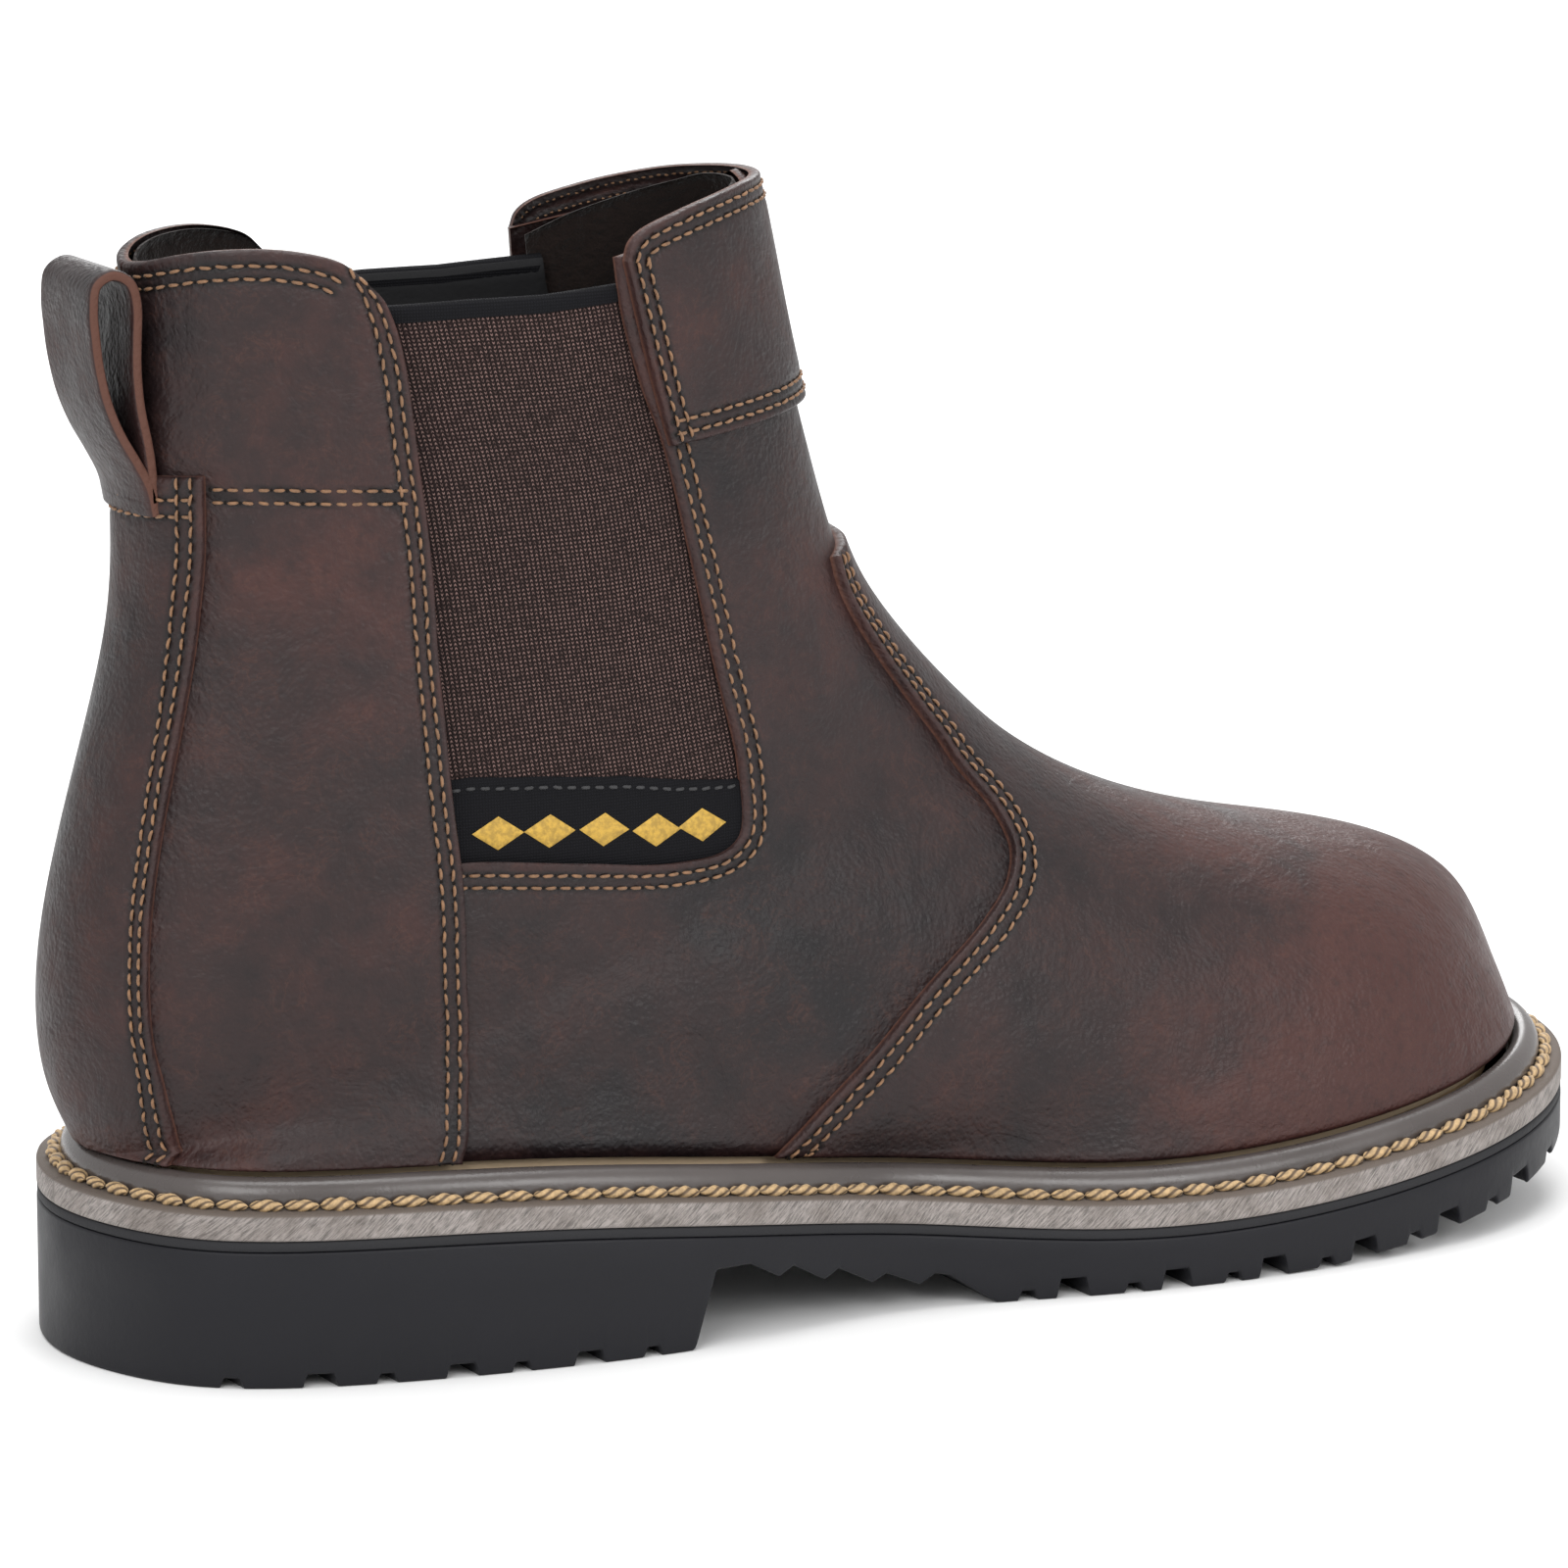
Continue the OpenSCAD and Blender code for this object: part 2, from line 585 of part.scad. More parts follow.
module outsole() {
    top_drop = welt_t + slip_t + layer_gap;
    xs = [for (i = [0:profile_n]) mix(-10, sole_length + 12, i / profile_n)];
    color(rubber_black)
        at_frame()
            difference() {
                intersection() {
                    linear_extrude(height = far)
                        polygon(sole_outline(0));
                    rotate([90, 0, 0])
                        linear_extrude(height = far, center = true)
                            polygon(concat(
                                [for (p = underside) [p.x * kx, p[1] * kz]],
                                [for (i = [profile_n:-1:0]) [xs[i], welt_z(xs[i]) - top_drop]]));
                }
                for (x = heel_notches)
                    side_notch(x, notch_w, small_depth, 0, lug_reach / 2);
                for (x = heel_gaps)
                    side_notch(x, gap_w, heel_gap_depth, 0, lug_reach);
                for (i = [0:fore_count - 1]) {
                    side_notch(wide_start + i * fore_pitch, gap_w, lug_depth,
                        lookup(wide_start + i * fore_pitch, toe_spring) * kz, lug_reach);
                    side_notch(small_start + i * fore_pitch, notch_w, small_depth,
                        lookup(small_start + i * fore_pitch, toe_spring) * kz, lug_reach / 2);
                }
            }
}

module slip_sole() {
    color(rubber_black)
        at_frame()
            sole_slab(0.2, -welt_t - slip_t - layer_gap / 2, -welt_t - layer_gap / 2);
}

module welt() {
    color(edge_grey)
        at_frame()
            sole_slab(0, -welt_t, 0);
}

// Section of the bead: [distance inside the edge, share of its height]. It leans on the leather.
bead_inner = feather_inset - upper_layer[1] - 0.2;
bead_section = [
    [4.5, 0.02], [4.35, 0.35], [4.9, 0.66], [6.1, 0.88], [bead_inner - 1, 0.95], [bead_inner, 0.9],
    [bead_inner, 0.02]
];

module storm_bead() {
    n = 100;
    m = len(bead_section);
    points = [
        for (i = [0:n - 1])
            let (e = sole_edge(i * sole_turns / n))
            for (b = bead_section)
                let (p = e[0] - e[1] * b[0]) [p.x - centre_x, p.y - centre_y, welt_z(e[0].x) + b[1] * bead_h]
    ];
    faces = [
        for (i = [0:n - 1]) for (j = [0:m - 1])
            let (next_i = (i + 1) % n,
                next_j = (j + 1) % m,
                a = i * m + j,
                b = i * m + next_j,
                c = next_i * m + next_j,
                d = next_i * m + j)
            each [[a, b, c], [a, c, d]]
    ];
    color(bead_brown)
        polyhedron(points = points, faces = faces, convexity = 6);
}

stitch_d = 1.6;
stitch_share = 0.84;
stitch_lift = 0.12;

module welt_stitching() {
    turn = sole_turns / stitch_count;
    color(thread_gold)
        at_frame()
            for (i = [0:stitch_count - 1]) {
                a = sole_edge(i * turn);
                b = sole_edge((i + stitch_share) * turn);
                p = a[0] - a[1] * stitch_inset;
                q = b[0] - b[1] * stitch_inset;
                from = [p.x, p.y, welt_z(a[0].x) + stitch_d / 2 + stitch_lift];
                to = [q.x, q.y, welt_z(b[0].x) + stitch_d / 2 + stitch_lift];
                run = to - from;
                translate(from)
                    rotate([0, acos(run.z / norm(run)), atan2(run.y, run.x)])
                        cylinder(h = norm(run), d = stitch_d, $fn = 8);
            }
}

board_t = 2.2;
board_top = bead_h - layer_gap;
filler_top = board_top - board_t - layer_gap;
board_inset = feather_inset + 2.6;
footbed_inset = feather_inset + lining_depth + lining_t + footbed_margin;
shank_span = [62, 178];
shank_z = 0.6;

module cork_filler() {
    color(cork_tan)
        difference() {
            at_frame()
                sole_slab(board_inset + 1, 0.1, filler_top);
            at_frame()
                translate([(shank_span[0] - 1) * kx, -shank_w / 2 - 0.5, 0])
                    cube([(shank_span[1] - shank_span[0] + 2) * kx, shank_w + 1, far]);
        }
}

module shank() {
    color(steel_grey)
        at_frame()
            intersection() {
                sole_slab(board_inset + 1, shank_z, shank_z + shank_t);
                translate([shank_span[0] * kx, -shank_w / 2, 0])
                    cube([(shank_span[1] - shank_span[0]) * kx, shank_w, far]);
            }
}

module insole_board() {
    color(board_tan)
        at_frame()
            sole_slab(board_inset, filler_top + layer_gap, board_top);
}

module footbed() {
    color(felt_dark)
        at_frame()
            sole_slab(footbed_inset, bead_h + layer_gap, bead_h + layer_gap + footbed_t);
}

// ---------- pieces of the upper ----------

module vamp() {
    color(red_brown)
        fan_shell(0, upper_layer, 34, 11);
}

module front_quarter() {
    color(dark_brown)
        quarter_shell(quarter_layer, [0, 0], -quarter_side_gap, -butt_gap_s);
}

module front_collar_band() {
    rows = 5;
    half_cols = 7;
    places = [
        for (i = [0:rows])
            [for (w = both_sides(half_cols))
                let (guess = gore_guess[0] * abs(w),
                    s = mix(lookup(guess, front_top), band_floor, i / rows),
                    t = lookup(s, gore_front) * abs(w))
                [s, sign(w) * t]]
    ];
    color(dark_brown)
        shell(frames(places), upper_layer);
}

module rear_quarter_lateral() {
    color(dark_brown)
        rear_quarter(-1, upper_layer);
}

module rear_quarter_medial() {
    color(dark_brown)
        rear_quarter(1, upper_layer);
}

module back_strap() {
    color(dark_brown)
        back_wrap(strap_edge, strap_top, strap_cup, strap_layer, 14, 4);
}

module side_gore(side) {
    color(web_brown)
        side_panel(side, gore_layer, function (t) lookup(t, gore_top),
            function (t) lookup(t, gore_floor) + lap_s, -lap_t, lap_t);
}

module side_backing(side) {
    color(deep_black)
        side_panel(side, backing_layer, function (t) lookup(t, gore_top),
            function (t) lookup(t, gore_floor) + lap_s / 2, -lap_t / 2, lap_t / 2);
}

module side_binding(side) {
    color(deep_black)
        side_panel(side, binding_layer, function (t) lookup(t, gore_top) - binding_span[0],
            function (t) lookup(t, gore_top) - binding_span[1], gore_side_gap, -gore_side_gap,
            rows = 1, cols = 8);
}

module side_label(side) {
    color(deep_black)
        side_panel(side, label_layer, function (t) lookup(t, label_top),
            function (t) lookup(t, gore_floor) - label_gap_s, gore_side_gap, -gore_side_gap,
            rows = 2, cols = 6);
}

module gore_lateral() {
    side_gore(-1);
}

module gore_medial() {
    side_gore(1);
}

module gore_backing_lateral() {
    side_backing(-1);
}

module gore_backing_medial() {
    side_backing(1);
}

module gore_binding_lateral() {
    side_binding(-1);
}

module gore_binding_medial() {
    side_binding(1);
}

module gore_label_lateral() {
    side_label(-1);
}

module gore_label_medial() {
    side_label(1);
}

// ---------- inner pieces ----------

module steel_toe_cap() {
    color(steel_grey)
        toe_shell(function (t) cap_start, cap_layer, 9, 12);
}

module toe_cap_edge_strip() {
    half_cols = 12;
    places = [
        for (i = [0:1])
            [for (r = both_sides(half_cols)) [cap_start - strip_gap_s - (1 - i) * strip_width_s, r]]
    ];
    color(deep_black)
        shell(frames(places), cap_layer);
}

counter_edge = [[8.4, 0.76], [12, 0.76], [14, 0.8]];

module heel_counter() {
    color(board_tan)
        back_wrap(counter_edge, counter_top, counter_cup, counter_layer, 6, 6);
}

lining_edge = [
    [0, 0.695], [2, 0.67], [4, 0.666], [6, 0.657], [8, 0.64], [10, 0.64], [12, 0.652], [14, 0.69]
];

module heel_lining() {
    deep = lining_layer[1] - shaft_lining_layer[1];
    color(felt_dark)
        back_wrap(lining_edge, 0.95, lining_cup, shaft_lining_layer, 14, 6,
            drop = function (s) deep * ease((s - lining_step[0]) / (lining_step[1] - lining_step[0])));
}

module front_lining() {
    color(felt_dark)
        quarter_shell(front_lining_layer, [window_margin_t, lap_s + 2 * lining_gap_s], -quarter_side_gap,
            -lining_gap_s);
}

module vamp_lining() {
    color(felt_dark)
        fan_shell(lining_gap_s, lining_layer, 24, 8);
}

// ---------- pull loop ----------

// Outer face of the loop in side view, from the rear of its foot over the top to the front: [x, z]
loop_face = [
    [14.4, 155.2], [13.9, 158], [11.5, 163.5], [9.3, 170], [8.6, 176], [8, 182], [7.6, 187.6], [8.4, 192.6],
    [12.2, 194.8], [16.2, 193], [17.7, 188.6], [17.6, 182], [17.3, 176], [17.3, 170], [17.9, 164],
    [18, 159.5], [17.9, 155.2]
];
loop_foot_h = 6;
loop_steps = 48;
loop_points = [
    for (i = [0:loop_steps])
        let (p = spline(loop_face, i / loop_steps * (len(loop_face) - 1)))
        [p.x * kx, p[1] * kz]
];
loop_hole = [
    for (i = [1:loop_steps - 1])
        let (d = loop_points[i + 1] - loop_points[i - 1],
            p = loop_points[i] + [d[1], -d.x] / norm(d) * loop_t)
        if (p[1] > loop_points[0][1] + loop_foot_h) p
];

module pull_loop() {
    color(dark_brown)
        at_frame()
            rotate([90, 0, 0])
                linear_extrude(height = loop_w, center = true)
                    difference() {
                        polygon(loop_points);
                        polygon(loop_hole);
                    }
}

outsole();
slip_sole();
welt();
storm_bead();
welt_stitching();
cork_filler();
shank();
insole_board();
footbed();
steel_toe_cap();
toe_cap_edge_strip();
heel_counter();
vamp_lining();
front_lining();
heel_lining();
vamp();
front_quarter();
front_collar_band();
rear_quarter_lateral();
rear_quarter_medial();
back_strap();
pull_loop();
gore_lateral();
gore_medial();
gore_backing_lateral();
gore_backing_medial();
gore_binding_lateral();
gore_binding_medial();
gore_label_lateral();
gore_label_medial();
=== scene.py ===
"""Finished looks of the pull-on safety boot: leather upper, elastic gores, stitched welt and lugged sole."""

import json
import logging
import math
from abc import ABC, abstractmethod
from dataclasses import dataclass, field
from enum import Enum

import bpy
import numpy as np
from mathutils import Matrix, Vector


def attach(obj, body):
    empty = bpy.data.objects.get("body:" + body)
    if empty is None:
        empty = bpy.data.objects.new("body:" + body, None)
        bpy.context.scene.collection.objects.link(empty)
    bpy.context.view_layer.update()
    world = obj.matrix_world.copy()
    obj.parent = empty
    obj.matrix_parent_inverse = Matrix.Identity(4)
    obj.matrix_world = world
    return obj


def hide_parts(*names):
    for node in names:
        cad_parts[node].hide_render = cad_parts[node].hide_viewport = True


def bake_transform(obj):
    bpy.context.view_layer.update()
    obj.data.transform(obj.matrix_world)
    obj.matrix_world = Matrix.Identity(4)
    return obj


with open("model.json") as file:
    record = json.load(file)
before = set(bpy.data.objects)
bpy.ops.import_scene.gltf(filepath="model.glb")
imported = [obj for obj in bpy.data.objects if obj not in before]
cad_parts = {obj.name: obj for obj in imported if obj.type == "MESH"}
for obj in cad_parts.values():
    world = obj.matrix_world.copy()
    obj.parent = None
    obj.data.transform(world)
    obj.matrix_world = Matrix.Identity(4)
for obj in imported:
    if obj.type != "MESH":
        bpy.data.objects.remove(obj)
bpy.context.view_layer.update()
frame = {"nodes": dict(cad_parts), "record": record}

Array = np.ndarray
MM = 0.001
FAR = 99.0  # millimetres: counts as away from every edge and seam
NEAR_BLOCK = 2_000_000  # pairs of points compared at a time
LOG = logging.getLogger("boot")


class Side(Enum):
    """Side of the boot, with the sign of its Y and of its t."""

    LATERAL = -1
    MEDIAL = 1


def mix(a: Array, b: Array, w: Array) -> Array:
    """Linear blend that is a at w = 0 and b at w = 1."""
    return a + (b - a) * w


def ease(w: Array) -> Array:
    """Smooth step: 0 below 0, 1 above 1 and c * c * (3 - 2c) between."""
    c = np.clip(w, 0.0, 1.0)
    return c * c * (3.0 - 2.0 * c)


def fade(x: Array, start: float, length: float) -> Array:
    """Smooth step of x that begins at start and takes length; a negative length makes it fall with x."""
    return ease((x - start) / length)


def unit(v: Array) -> Array:
    """Vectors of the last axis over their length."""
    return v / np.maximum(np.linalg.norm(v, axis=-1, keepdims=True), 1e-12)


def basis(t: Array) -> tuple[Array, Array, Array, Array]:
    """Weights of four neighbours in the uniform cubic B-spline, with t between the two middle ones."""
    return ((1 - t) ** 3 / 6, (3 * t**3 - 6 * t**2 + 4) / 6, (-3 * t**3 + 3 * t**2 + 3 * t + 1) / 6, t**3 / 6)


def open_spline(keys: Array, u: Array) -> Array:
    """Open B-spline that starts and ends on its first and last control values.

    Args: keys are the control values, and u counts them from 0.
    Returns: the spline's values at u.
    """
    k = np.concatenate([[2 * keys[0] - keys[1]], keys, [2 * keys[-1] - keys[-2]]])
    u = np.clip(np.asarray(u, float), 0.0, len(keys) - 1 - 1e-9)
    i = np.floor(u).astype(int)
    weights = basis(u - i if k.ndim == 1 else (u - i)[..., None])
    return sum(w * k[i + n] for n, w in enumerate(weights))


def smooth_curve(knots: Array, count: int) -> Array:
    """Catmull-Rom curve through knots, evenly spaced in knot number.

    Args: knots is k x 2, and count is the number of points wanted.
    Returns: count x 2 points.
    """
    knots = np.asarray(knots, float)
    k = np.concatenate([[2 * knots[0] - knots[1]], knots, [2 * knots[-1] - knots[-2]]])
    u = np.linspace(0, len(knots) - 1 - 1e-9, count)
    i = np.floor(u).astype(int)
    t = (u - i)[:, None]
    a, b, c, d = k[i], k[i + 1], k[i + 2], k[i + 3]
    return 0.5 * (2 * b + (c - a) * t + (2 * a - 5 * b + 4 * c - d) * t**2 + (3 * b - a - 3 * c + d) * t**3)


def run_along(points: Array) -> Array:
    """Distances of a line's points from its first one, measured along it."""
    return np.concatenate([[0], np.cumsum(np.linalg.norm(np.diff(points, axis=0), axis=1))])


def read(line: Array, at: Array, run: Array | None = None) -> Array:
    """Reads every column of a line between its points.

    Args: line is k x n, and at holds places on run, which goes evenly from 0 to 1 by default.
    Returns: the n values at each place.
    """
    run = np.linspace(0, 1, len(line)) if run is None else run
    return np.stack([np.interp(at, run, column) for column in line.T], 1)


@dataclass(frozen=True)
class SoleShape:
    """Outline of the sole and the height of its welt, in millimetres from the heel.

    The outline is a closed B-spline; the welt's height is an open one over equal steps along X.
    """

    centre: tuple[float, float] = (156.95, 2.53)
    points: tuple[tuple[float, float], ...] = (
        (0.5, 0), (7, -23), (20, -40), (55, -49), (111, -54), (150, -41), (190, -54), (235, -55), (276, -49),
        (302, -29), (313, -2), (313, 25), (293, 47), (254, 62), (208, 57), (157, 45), (112, 40), (57, 44),
        (20, 40), (7, 23))
    heights: tuple[float, ...] = (31.8, 31.4, 30.6, 26.0, 19.6, 15.8, 17.6, 23.2, 29.8)
    height_step: float = 40.0
    toe_turn: float = 10.55
    bead_h: float = 5.4
    feather_inset: float = 10.8
    heel_cut: float = 1.5
    heel_share: float = 0.15

    def edge(self, u: Array) -> tuple[Array, Array]:
        """Edge of the sole.

        Args: u counts the control points.
        Returns: points and outward unit normals in the plane.
        """
        ctrl = np.asarray(self.points, float)
        n = len(ctrl)
        u = np.asarray(u, float) % n
        i = np.floor(u).astype(int)
        t = (u - i)[..., None]
        ring = [ctrl[(i + k) % n] for k in (-1, 0, 1, 2)]
        slopes = (-0.5 * (1 - t) ** 2, (3 * t**2 - 4 * t) / 2, (-3 * t**2 + 2 * t + 1) / 2, 0.5 * t**2)
        p = sum(w * c for w, c in zip(basis(t), ring))
        d = unit(sum(w * c for w, c in zip(slopes, ring)))
        return p, np.stack([d[..., 1], -d[..., 0]], -1)

    def even_turn(self, count: int) -> Array:
        """Places along the edge at equal distances.

        Args: count is how many places the whole turn gets.
        Returns: spline positions u, without the repeated last one.
        """
        u = np.linspace(0, len(self.points), 4001)
        p, _ = self.edge(u)
        run = run_along(p)
        return np.interp(np.arange(count) * run[-1] / count, run, u)

    def top(self, x: Array) -> Array:
        """Height of the welt's top above the floor, at x from the heel."""
        return open_spline(np.asarray(self.heights), np.asarray(x) / self.height_step)

    def feather(self, q: Array, side: Side) -> tuple[Array, Array]:
        """Line where the upper meets the sole.

        Args: q is the way from the heel (0) to the toe (1), and side tells which side.
        Returns: points in space and outward normals in the plane.
        """
        n = len(self.points)
        u = q * self.toe_turn if side is Side.LATERAL else n - q * (n - self.toe_turn)
        p, normal = self.edge(u)
        inset = self.feather_inset - self.heel_cut * np.clip(1 - q / self.heel_share, 0, 1) ** 2
        inner = p - normal * inset[..., None]
        return np.concatenate([inner, (self.top(p[..., 0]) + self.bead_h)[..., None]], -1), normal

    def ring(self, inset: Array, height: Array, count: int) -> Array:
        """Sweep of a profile round the sole.

        Args: inset and height are the profile's distances inside the edge and above the welt's top.
        Returns: count x profile x 3 points in the part's frame.
        """
        p, normal = self.edge(self.even_turn(count))
        flat = p[:, None] - normal[:, None] * np.asarray(inset)[None, :, None] - np.asarray(self.centre)
        z = self.top(p[:, 0])[:, None] + np.asarray(height)[None]
        return np.concatenate([flat, z[..., None]], -1)


@dataclass
class BootForm:
    """Reference face of the upper.

    Section s is a cubic arch from the boot's ridge (t = 0) to its landing (t = 1): the back seam for the
    shaft and the feather edge for the foot. A lattice of points and normals is worked out once; places on
    it are [s, t] with t below 0 on the lateral side, and a t past -1 or 1 has gone round the back seam.
    Fields of two numbers are the start and the length of a fade.
    """

    sole: SoleShape = field(default_factory=SoleShape)
    stations: tuple[tuple[float, float, float, float], ...] = (
        (137, 210, -12, 0), (140.5, 196, -11, 0), (143, 182.5, -10, 0), (146, 169, -9, 0),
        (149.5, 156.5, -8, 0), (152.5, 145.5, -7, 0), (155.5, 135.5, -6, 0), (160, 126.5, -5, 0),
        (165.5, 119.5, -4, 0), (170, 114.5, -3, 0), (173.5, 111, -2, 1), (176.5, 108, -1, 1),
        (179, 105.5, 0, 1), (181.5, 103.5, 0, 1), (184, 101, 0, 2), (186.5, 98.5, 0.09, 2),
        (189.5, 96, 0.18, 2), (193.5, 93, 0.27, 3), (199, 89.3, 0.36, 3), (206.5, 85, 0.45, 4),
        (217, 80, 0.54, 5), (231, 75.5, 0.63, 6), (248, 72.5, 0.72, 7), (264, 69.5, 0.8, 8),
        (279.5, 65.5, 0.87, 9), (291, 60, 0.925, 10), (298, 52.5, 0.965, 10), (301, 43, 1, 10))
    back: tuple[tuple[float, float], ...] = (
        (20.5, 206), (20.5, 190), (20.5, 174), (20.7, 158), (21.2, 143), (20.5, 130), (17, 115), (12.5, 99),
        (8.3, 83), (5.8, 69), (5.4, 56), (6.6, 46), (9.8, 37.2))
    ridge_reach: tuple[tuple[float, float], ...] = (
        (0, 38), (3, 40), (6, 43), (9, 45), (12, 45), (15, 44), (18, 40), (21, 40), (27, 40))
    landing_reach: tuple[tuple[float, float], ...] = (
        (0, 40), (3, 43), (6, 48), (9, 54), (12, 56), (15, 54), (18, 54), (27, 54))
    inner_cut: tuple[tuple[float, float], ...] = ((0, 13), (3, 10), (6, 5), (9, 0), (27, 0))
    landing_share: float = 0.45
    toe_fullness: float = 0.74
    cap_fullness: float = 0.16
    cup_centre: float = 46.0
    s_count: int = 541
    t_count: int = 301
    normal_reach: int = 6
    smooth_passes: int = 30
    blend_passes: int = 1500
    landing_hold: float = 0.3
    blend_start: tuple[float, float] = (6, 4)
    blend_end: tuple[float, float] = (23, -4)
    blend_floor: float = 0.12
    back_pull: float = 3.0
    fore: tuple[float, float] = (0.36, 0.27)
    cap: tuple[float, float] = (0.8, 0.12)
    turn: tuple[float, float] = (0.42, 0.16)
    fore_share: float = 0.05
    least: float = 1e-3
    least_side: float = 0.02
    cup: tuple[tuple[float, float], ...] = ((9.5, 2), (17, -1.5), (0.5, 0.2))
    level_h: float = 10.0
    collar_s: float = 4.0
    shift_damping: float = 0.6
    shift_step: tuple[float, float] = (0.05, 0.004)

    def __post_init__(self) -> None:
        """Works out the lattice of points and normals."""
        s = np.linspace(0, len(self.stations) - 1, self.s_count)[:, None]
        t = np.linspace(0, 1, self.t_count)[None]
        outer, inner = self._points(s, t, Side.LATERAL), self._points(s, t, Side.MEDIAL)
        outer[-1] = inner[-1] = (outer[-1] + inner[-1]) / 2
        lattice = np.concatenate([outer[:, :0:-1], inner], 1)
        reach = np.abs(np.linspace(-1, 1, lattice.shape[1]))
        ridge_free = ease((1 - reach) / self.landing_hold)[None, :, None]
        sec = s[..., None]
        heel = fade(sec, *self.blend_start) * fade(sec, *self.blend_end)
        share = np.maximum(heel * ridge_free, self.blend_floor * ridge_free)
        for _ in range(self.blend_passes):
            lattice[1:-1] += share[1:-1] * (lattice[:-2] - 2 * lattice[1:-1] + lattice[2:]) / 4
        self.lattice = lattice
        self.normals = self._normals(lattice)

    def _points(self, s: Array, t: Array, side: Side) -> Array:
        """Points of the arches of one side.

        Args: s is a column of sections, t a row of places along them.
        Returns: sections x places x 3.
        """
        st = open_spline(np.asarray(self.stations, float), s[:, 0])
        q = st[:, 2]
        ridge = np.stack([st[:, 0], st[:, 3], st[:, 1]], -1)
        back = open_spline(np.asarray(self.back, float), q + len(self.back) - 1)
        corner, _ = self.sole.feather(np.zeros(1), side)
        low = np.array([self.back[-1][0], 0.0, self.back[-1][1]])
        pulled = np.stack([back[:, 0], 0 * q, back[:, 1]], -1)
        pulled = pulled + (corner * [1, 0, 1] - low) * (np.clip(1 + q / self.back_pull, 0, 1) ** 2)[:, None]
        rim, normal = self.sole.feather(np.clip(q, 0, 1), side)
        shaft = (q <= 0)[:, None]
        land = np.where(shaft, pulled, rim)
        normal = np.where(shaft, np.array([-1.0, 0.0]), normal)
        flat = (land - ridge) * [1, 0, 1]
        span = np.linalg.norm(flat, axis=1)
        along = unit(flat)
        outward = np.array([0.0, side.value, 0.0])
        reach_y = np.abs(land[:, 1] - ridge[:, 1])
        fore = fade(q, *self.fore)
        full = self.toe_fullness + self.cap_fullness * np.clip((q - self.cap[0]) / self.cap[1], 0, 1)
        sec = s[:, 0]
        cut = np.interp(sec, *np.transpose(self.inner_cut)) if side is Side.MEDIAL else 0.0
        ridge_out = mix(np.interp(sec, *np.transpose(self.ridge_reach)) - cut, full * reach_y, fore)
        turn = fade(q, *self.turn)
        down = mix(np.abs(normal[:, 1]), 1.0, turn)
        sideways = mix(np.abs(normal[:, 0] * along[:, 0]), 0.0, turn)
        total = np.hypot(down, sideways)
        reach = np.interp(sec, *np.transpose(self.landing_reach)) - cut
        room = np.maximum((reach - reach_y) / np.maximum(sideways / total, self.least_side), self.least)
        cap = np.maximum((self.landing_share + self.fore_share * fore) * span, self.least)
        pull = (cap**-4 + room**-4) ** -0.25
        p1 = ridge + ridge_out[:, None] * outward
        p2 = land - (pull * down / total)[:, None] * along + (pull * sideways / total)[:, None] * outward
        t = t[..., None]
        arch = [(1 - t) ** 3 * ridge[:, None], 3 * (1 - t) ** 2 * t * p1[:, None],
                3 * (1 - t) * t**2 * p2[:, None], t**3 * land[:, None]]
        return sum(arch) - np.array([*self.sole.centre, 0.0])

    def _normals(self, lattice: Array) -> Array:
        """Outward unit normals, level near the feather edge and radial round the heel's corner.

        Args: lattice is sections x places x 3.
        Returns: the normals, in the same shape.
        """
        k = self.normal_reach
        rows = np.arange(len(lattice))
        ahead, behind = np.minimum(rows + k, rows[-1]), np.maximum(rows - k, 0)
        along = lattice[ahead] - lattice[behind]
        across = np.gradient(lattice, axis=1)
        normal = unit(np.cross(along, across))
        sec = (rows * (len(self.stations) - 1) / rows[-1])[:, None]
        reach = np.abs(np.linspace(-1, 1, lattice.shape[1]))[None]
        cup = math.prod(fade(x, *ends) for x, ends in zip((sec, sec, reach), self.cup))
        round_x = np.minimum(lattice[..., 0] - self.cup_centre + self.sole.centre[0], -0.001)
        radial = unit(np.stack([round_x, lattice[..., 1] + self.sole.centre[1], 0 * round_x], -1))
        normal = unit(mix(normal, radial, cup[..., None]))
        lift = lattice[..., 2] - self.sole.top(lattice[..., 0] + self.sole.centre[0]) - self.sole.bead_h
        level = np.where(sec > self.collar_s, np.clip(lift / self.level_h, 0, 1), 1.0)
        normal = normal * np.stack([np.ones_like(level), np.ones_like(level), level], -1)
        normal[-1, :, 1] = 0.0
        for _ in range(self.smooth_passes):
            normal[1:-1] = (normal[:-2] + 2 * normal[1:-1] + normal[2:]) / 4
        return unit(normal)

    def _sample(self, field_: Array, places: Array) -> Array:
        """Bilinear samples of a lattice field.

        Args: field_ is sections x places x 3, and places holds [s, t] in its last axis.
        Returns: the samples, one for each place.
        """
        rows, cols = field_.shape[:2]
        t = places[..., 1]
        t = np.where(t < -1, t + 2, np.where(t > 1, t - 2, t))
        i = np.clip(places[..., 0] / (len(self.stations) - 1), 0, 1) * (rows - 1)
        j = (t + 1) / 2 * (cols - 1)
        i0, j0 = np.minimum(i.astype(int), rows - 2), np.clip(j.astype(int), 0, cols - 2)
        a, b = (i - i0)[..., None], (j - j0)[..., None]
        low = mix(field_[i0, j0], field_[i0, j0 + 1], b)
        return mix(low, mix(field_[i0 + 1, j0], field_[i0 + 1, j0 + 1], b), a)

    def at(self, places: Array, offset: Array | float = 0.0) -> Array:
        """Points of the upper.

        Args: places holds [s, t]; offset is the height above the reference face in millimetres.
        Returns: points in the part's frame.
        """
        lift = np.asarray(offset, float)
        lift = lift[..., None] if lift.ndim else lift
        return self._sample(self.lattice, places) + self.facing(places) * lift

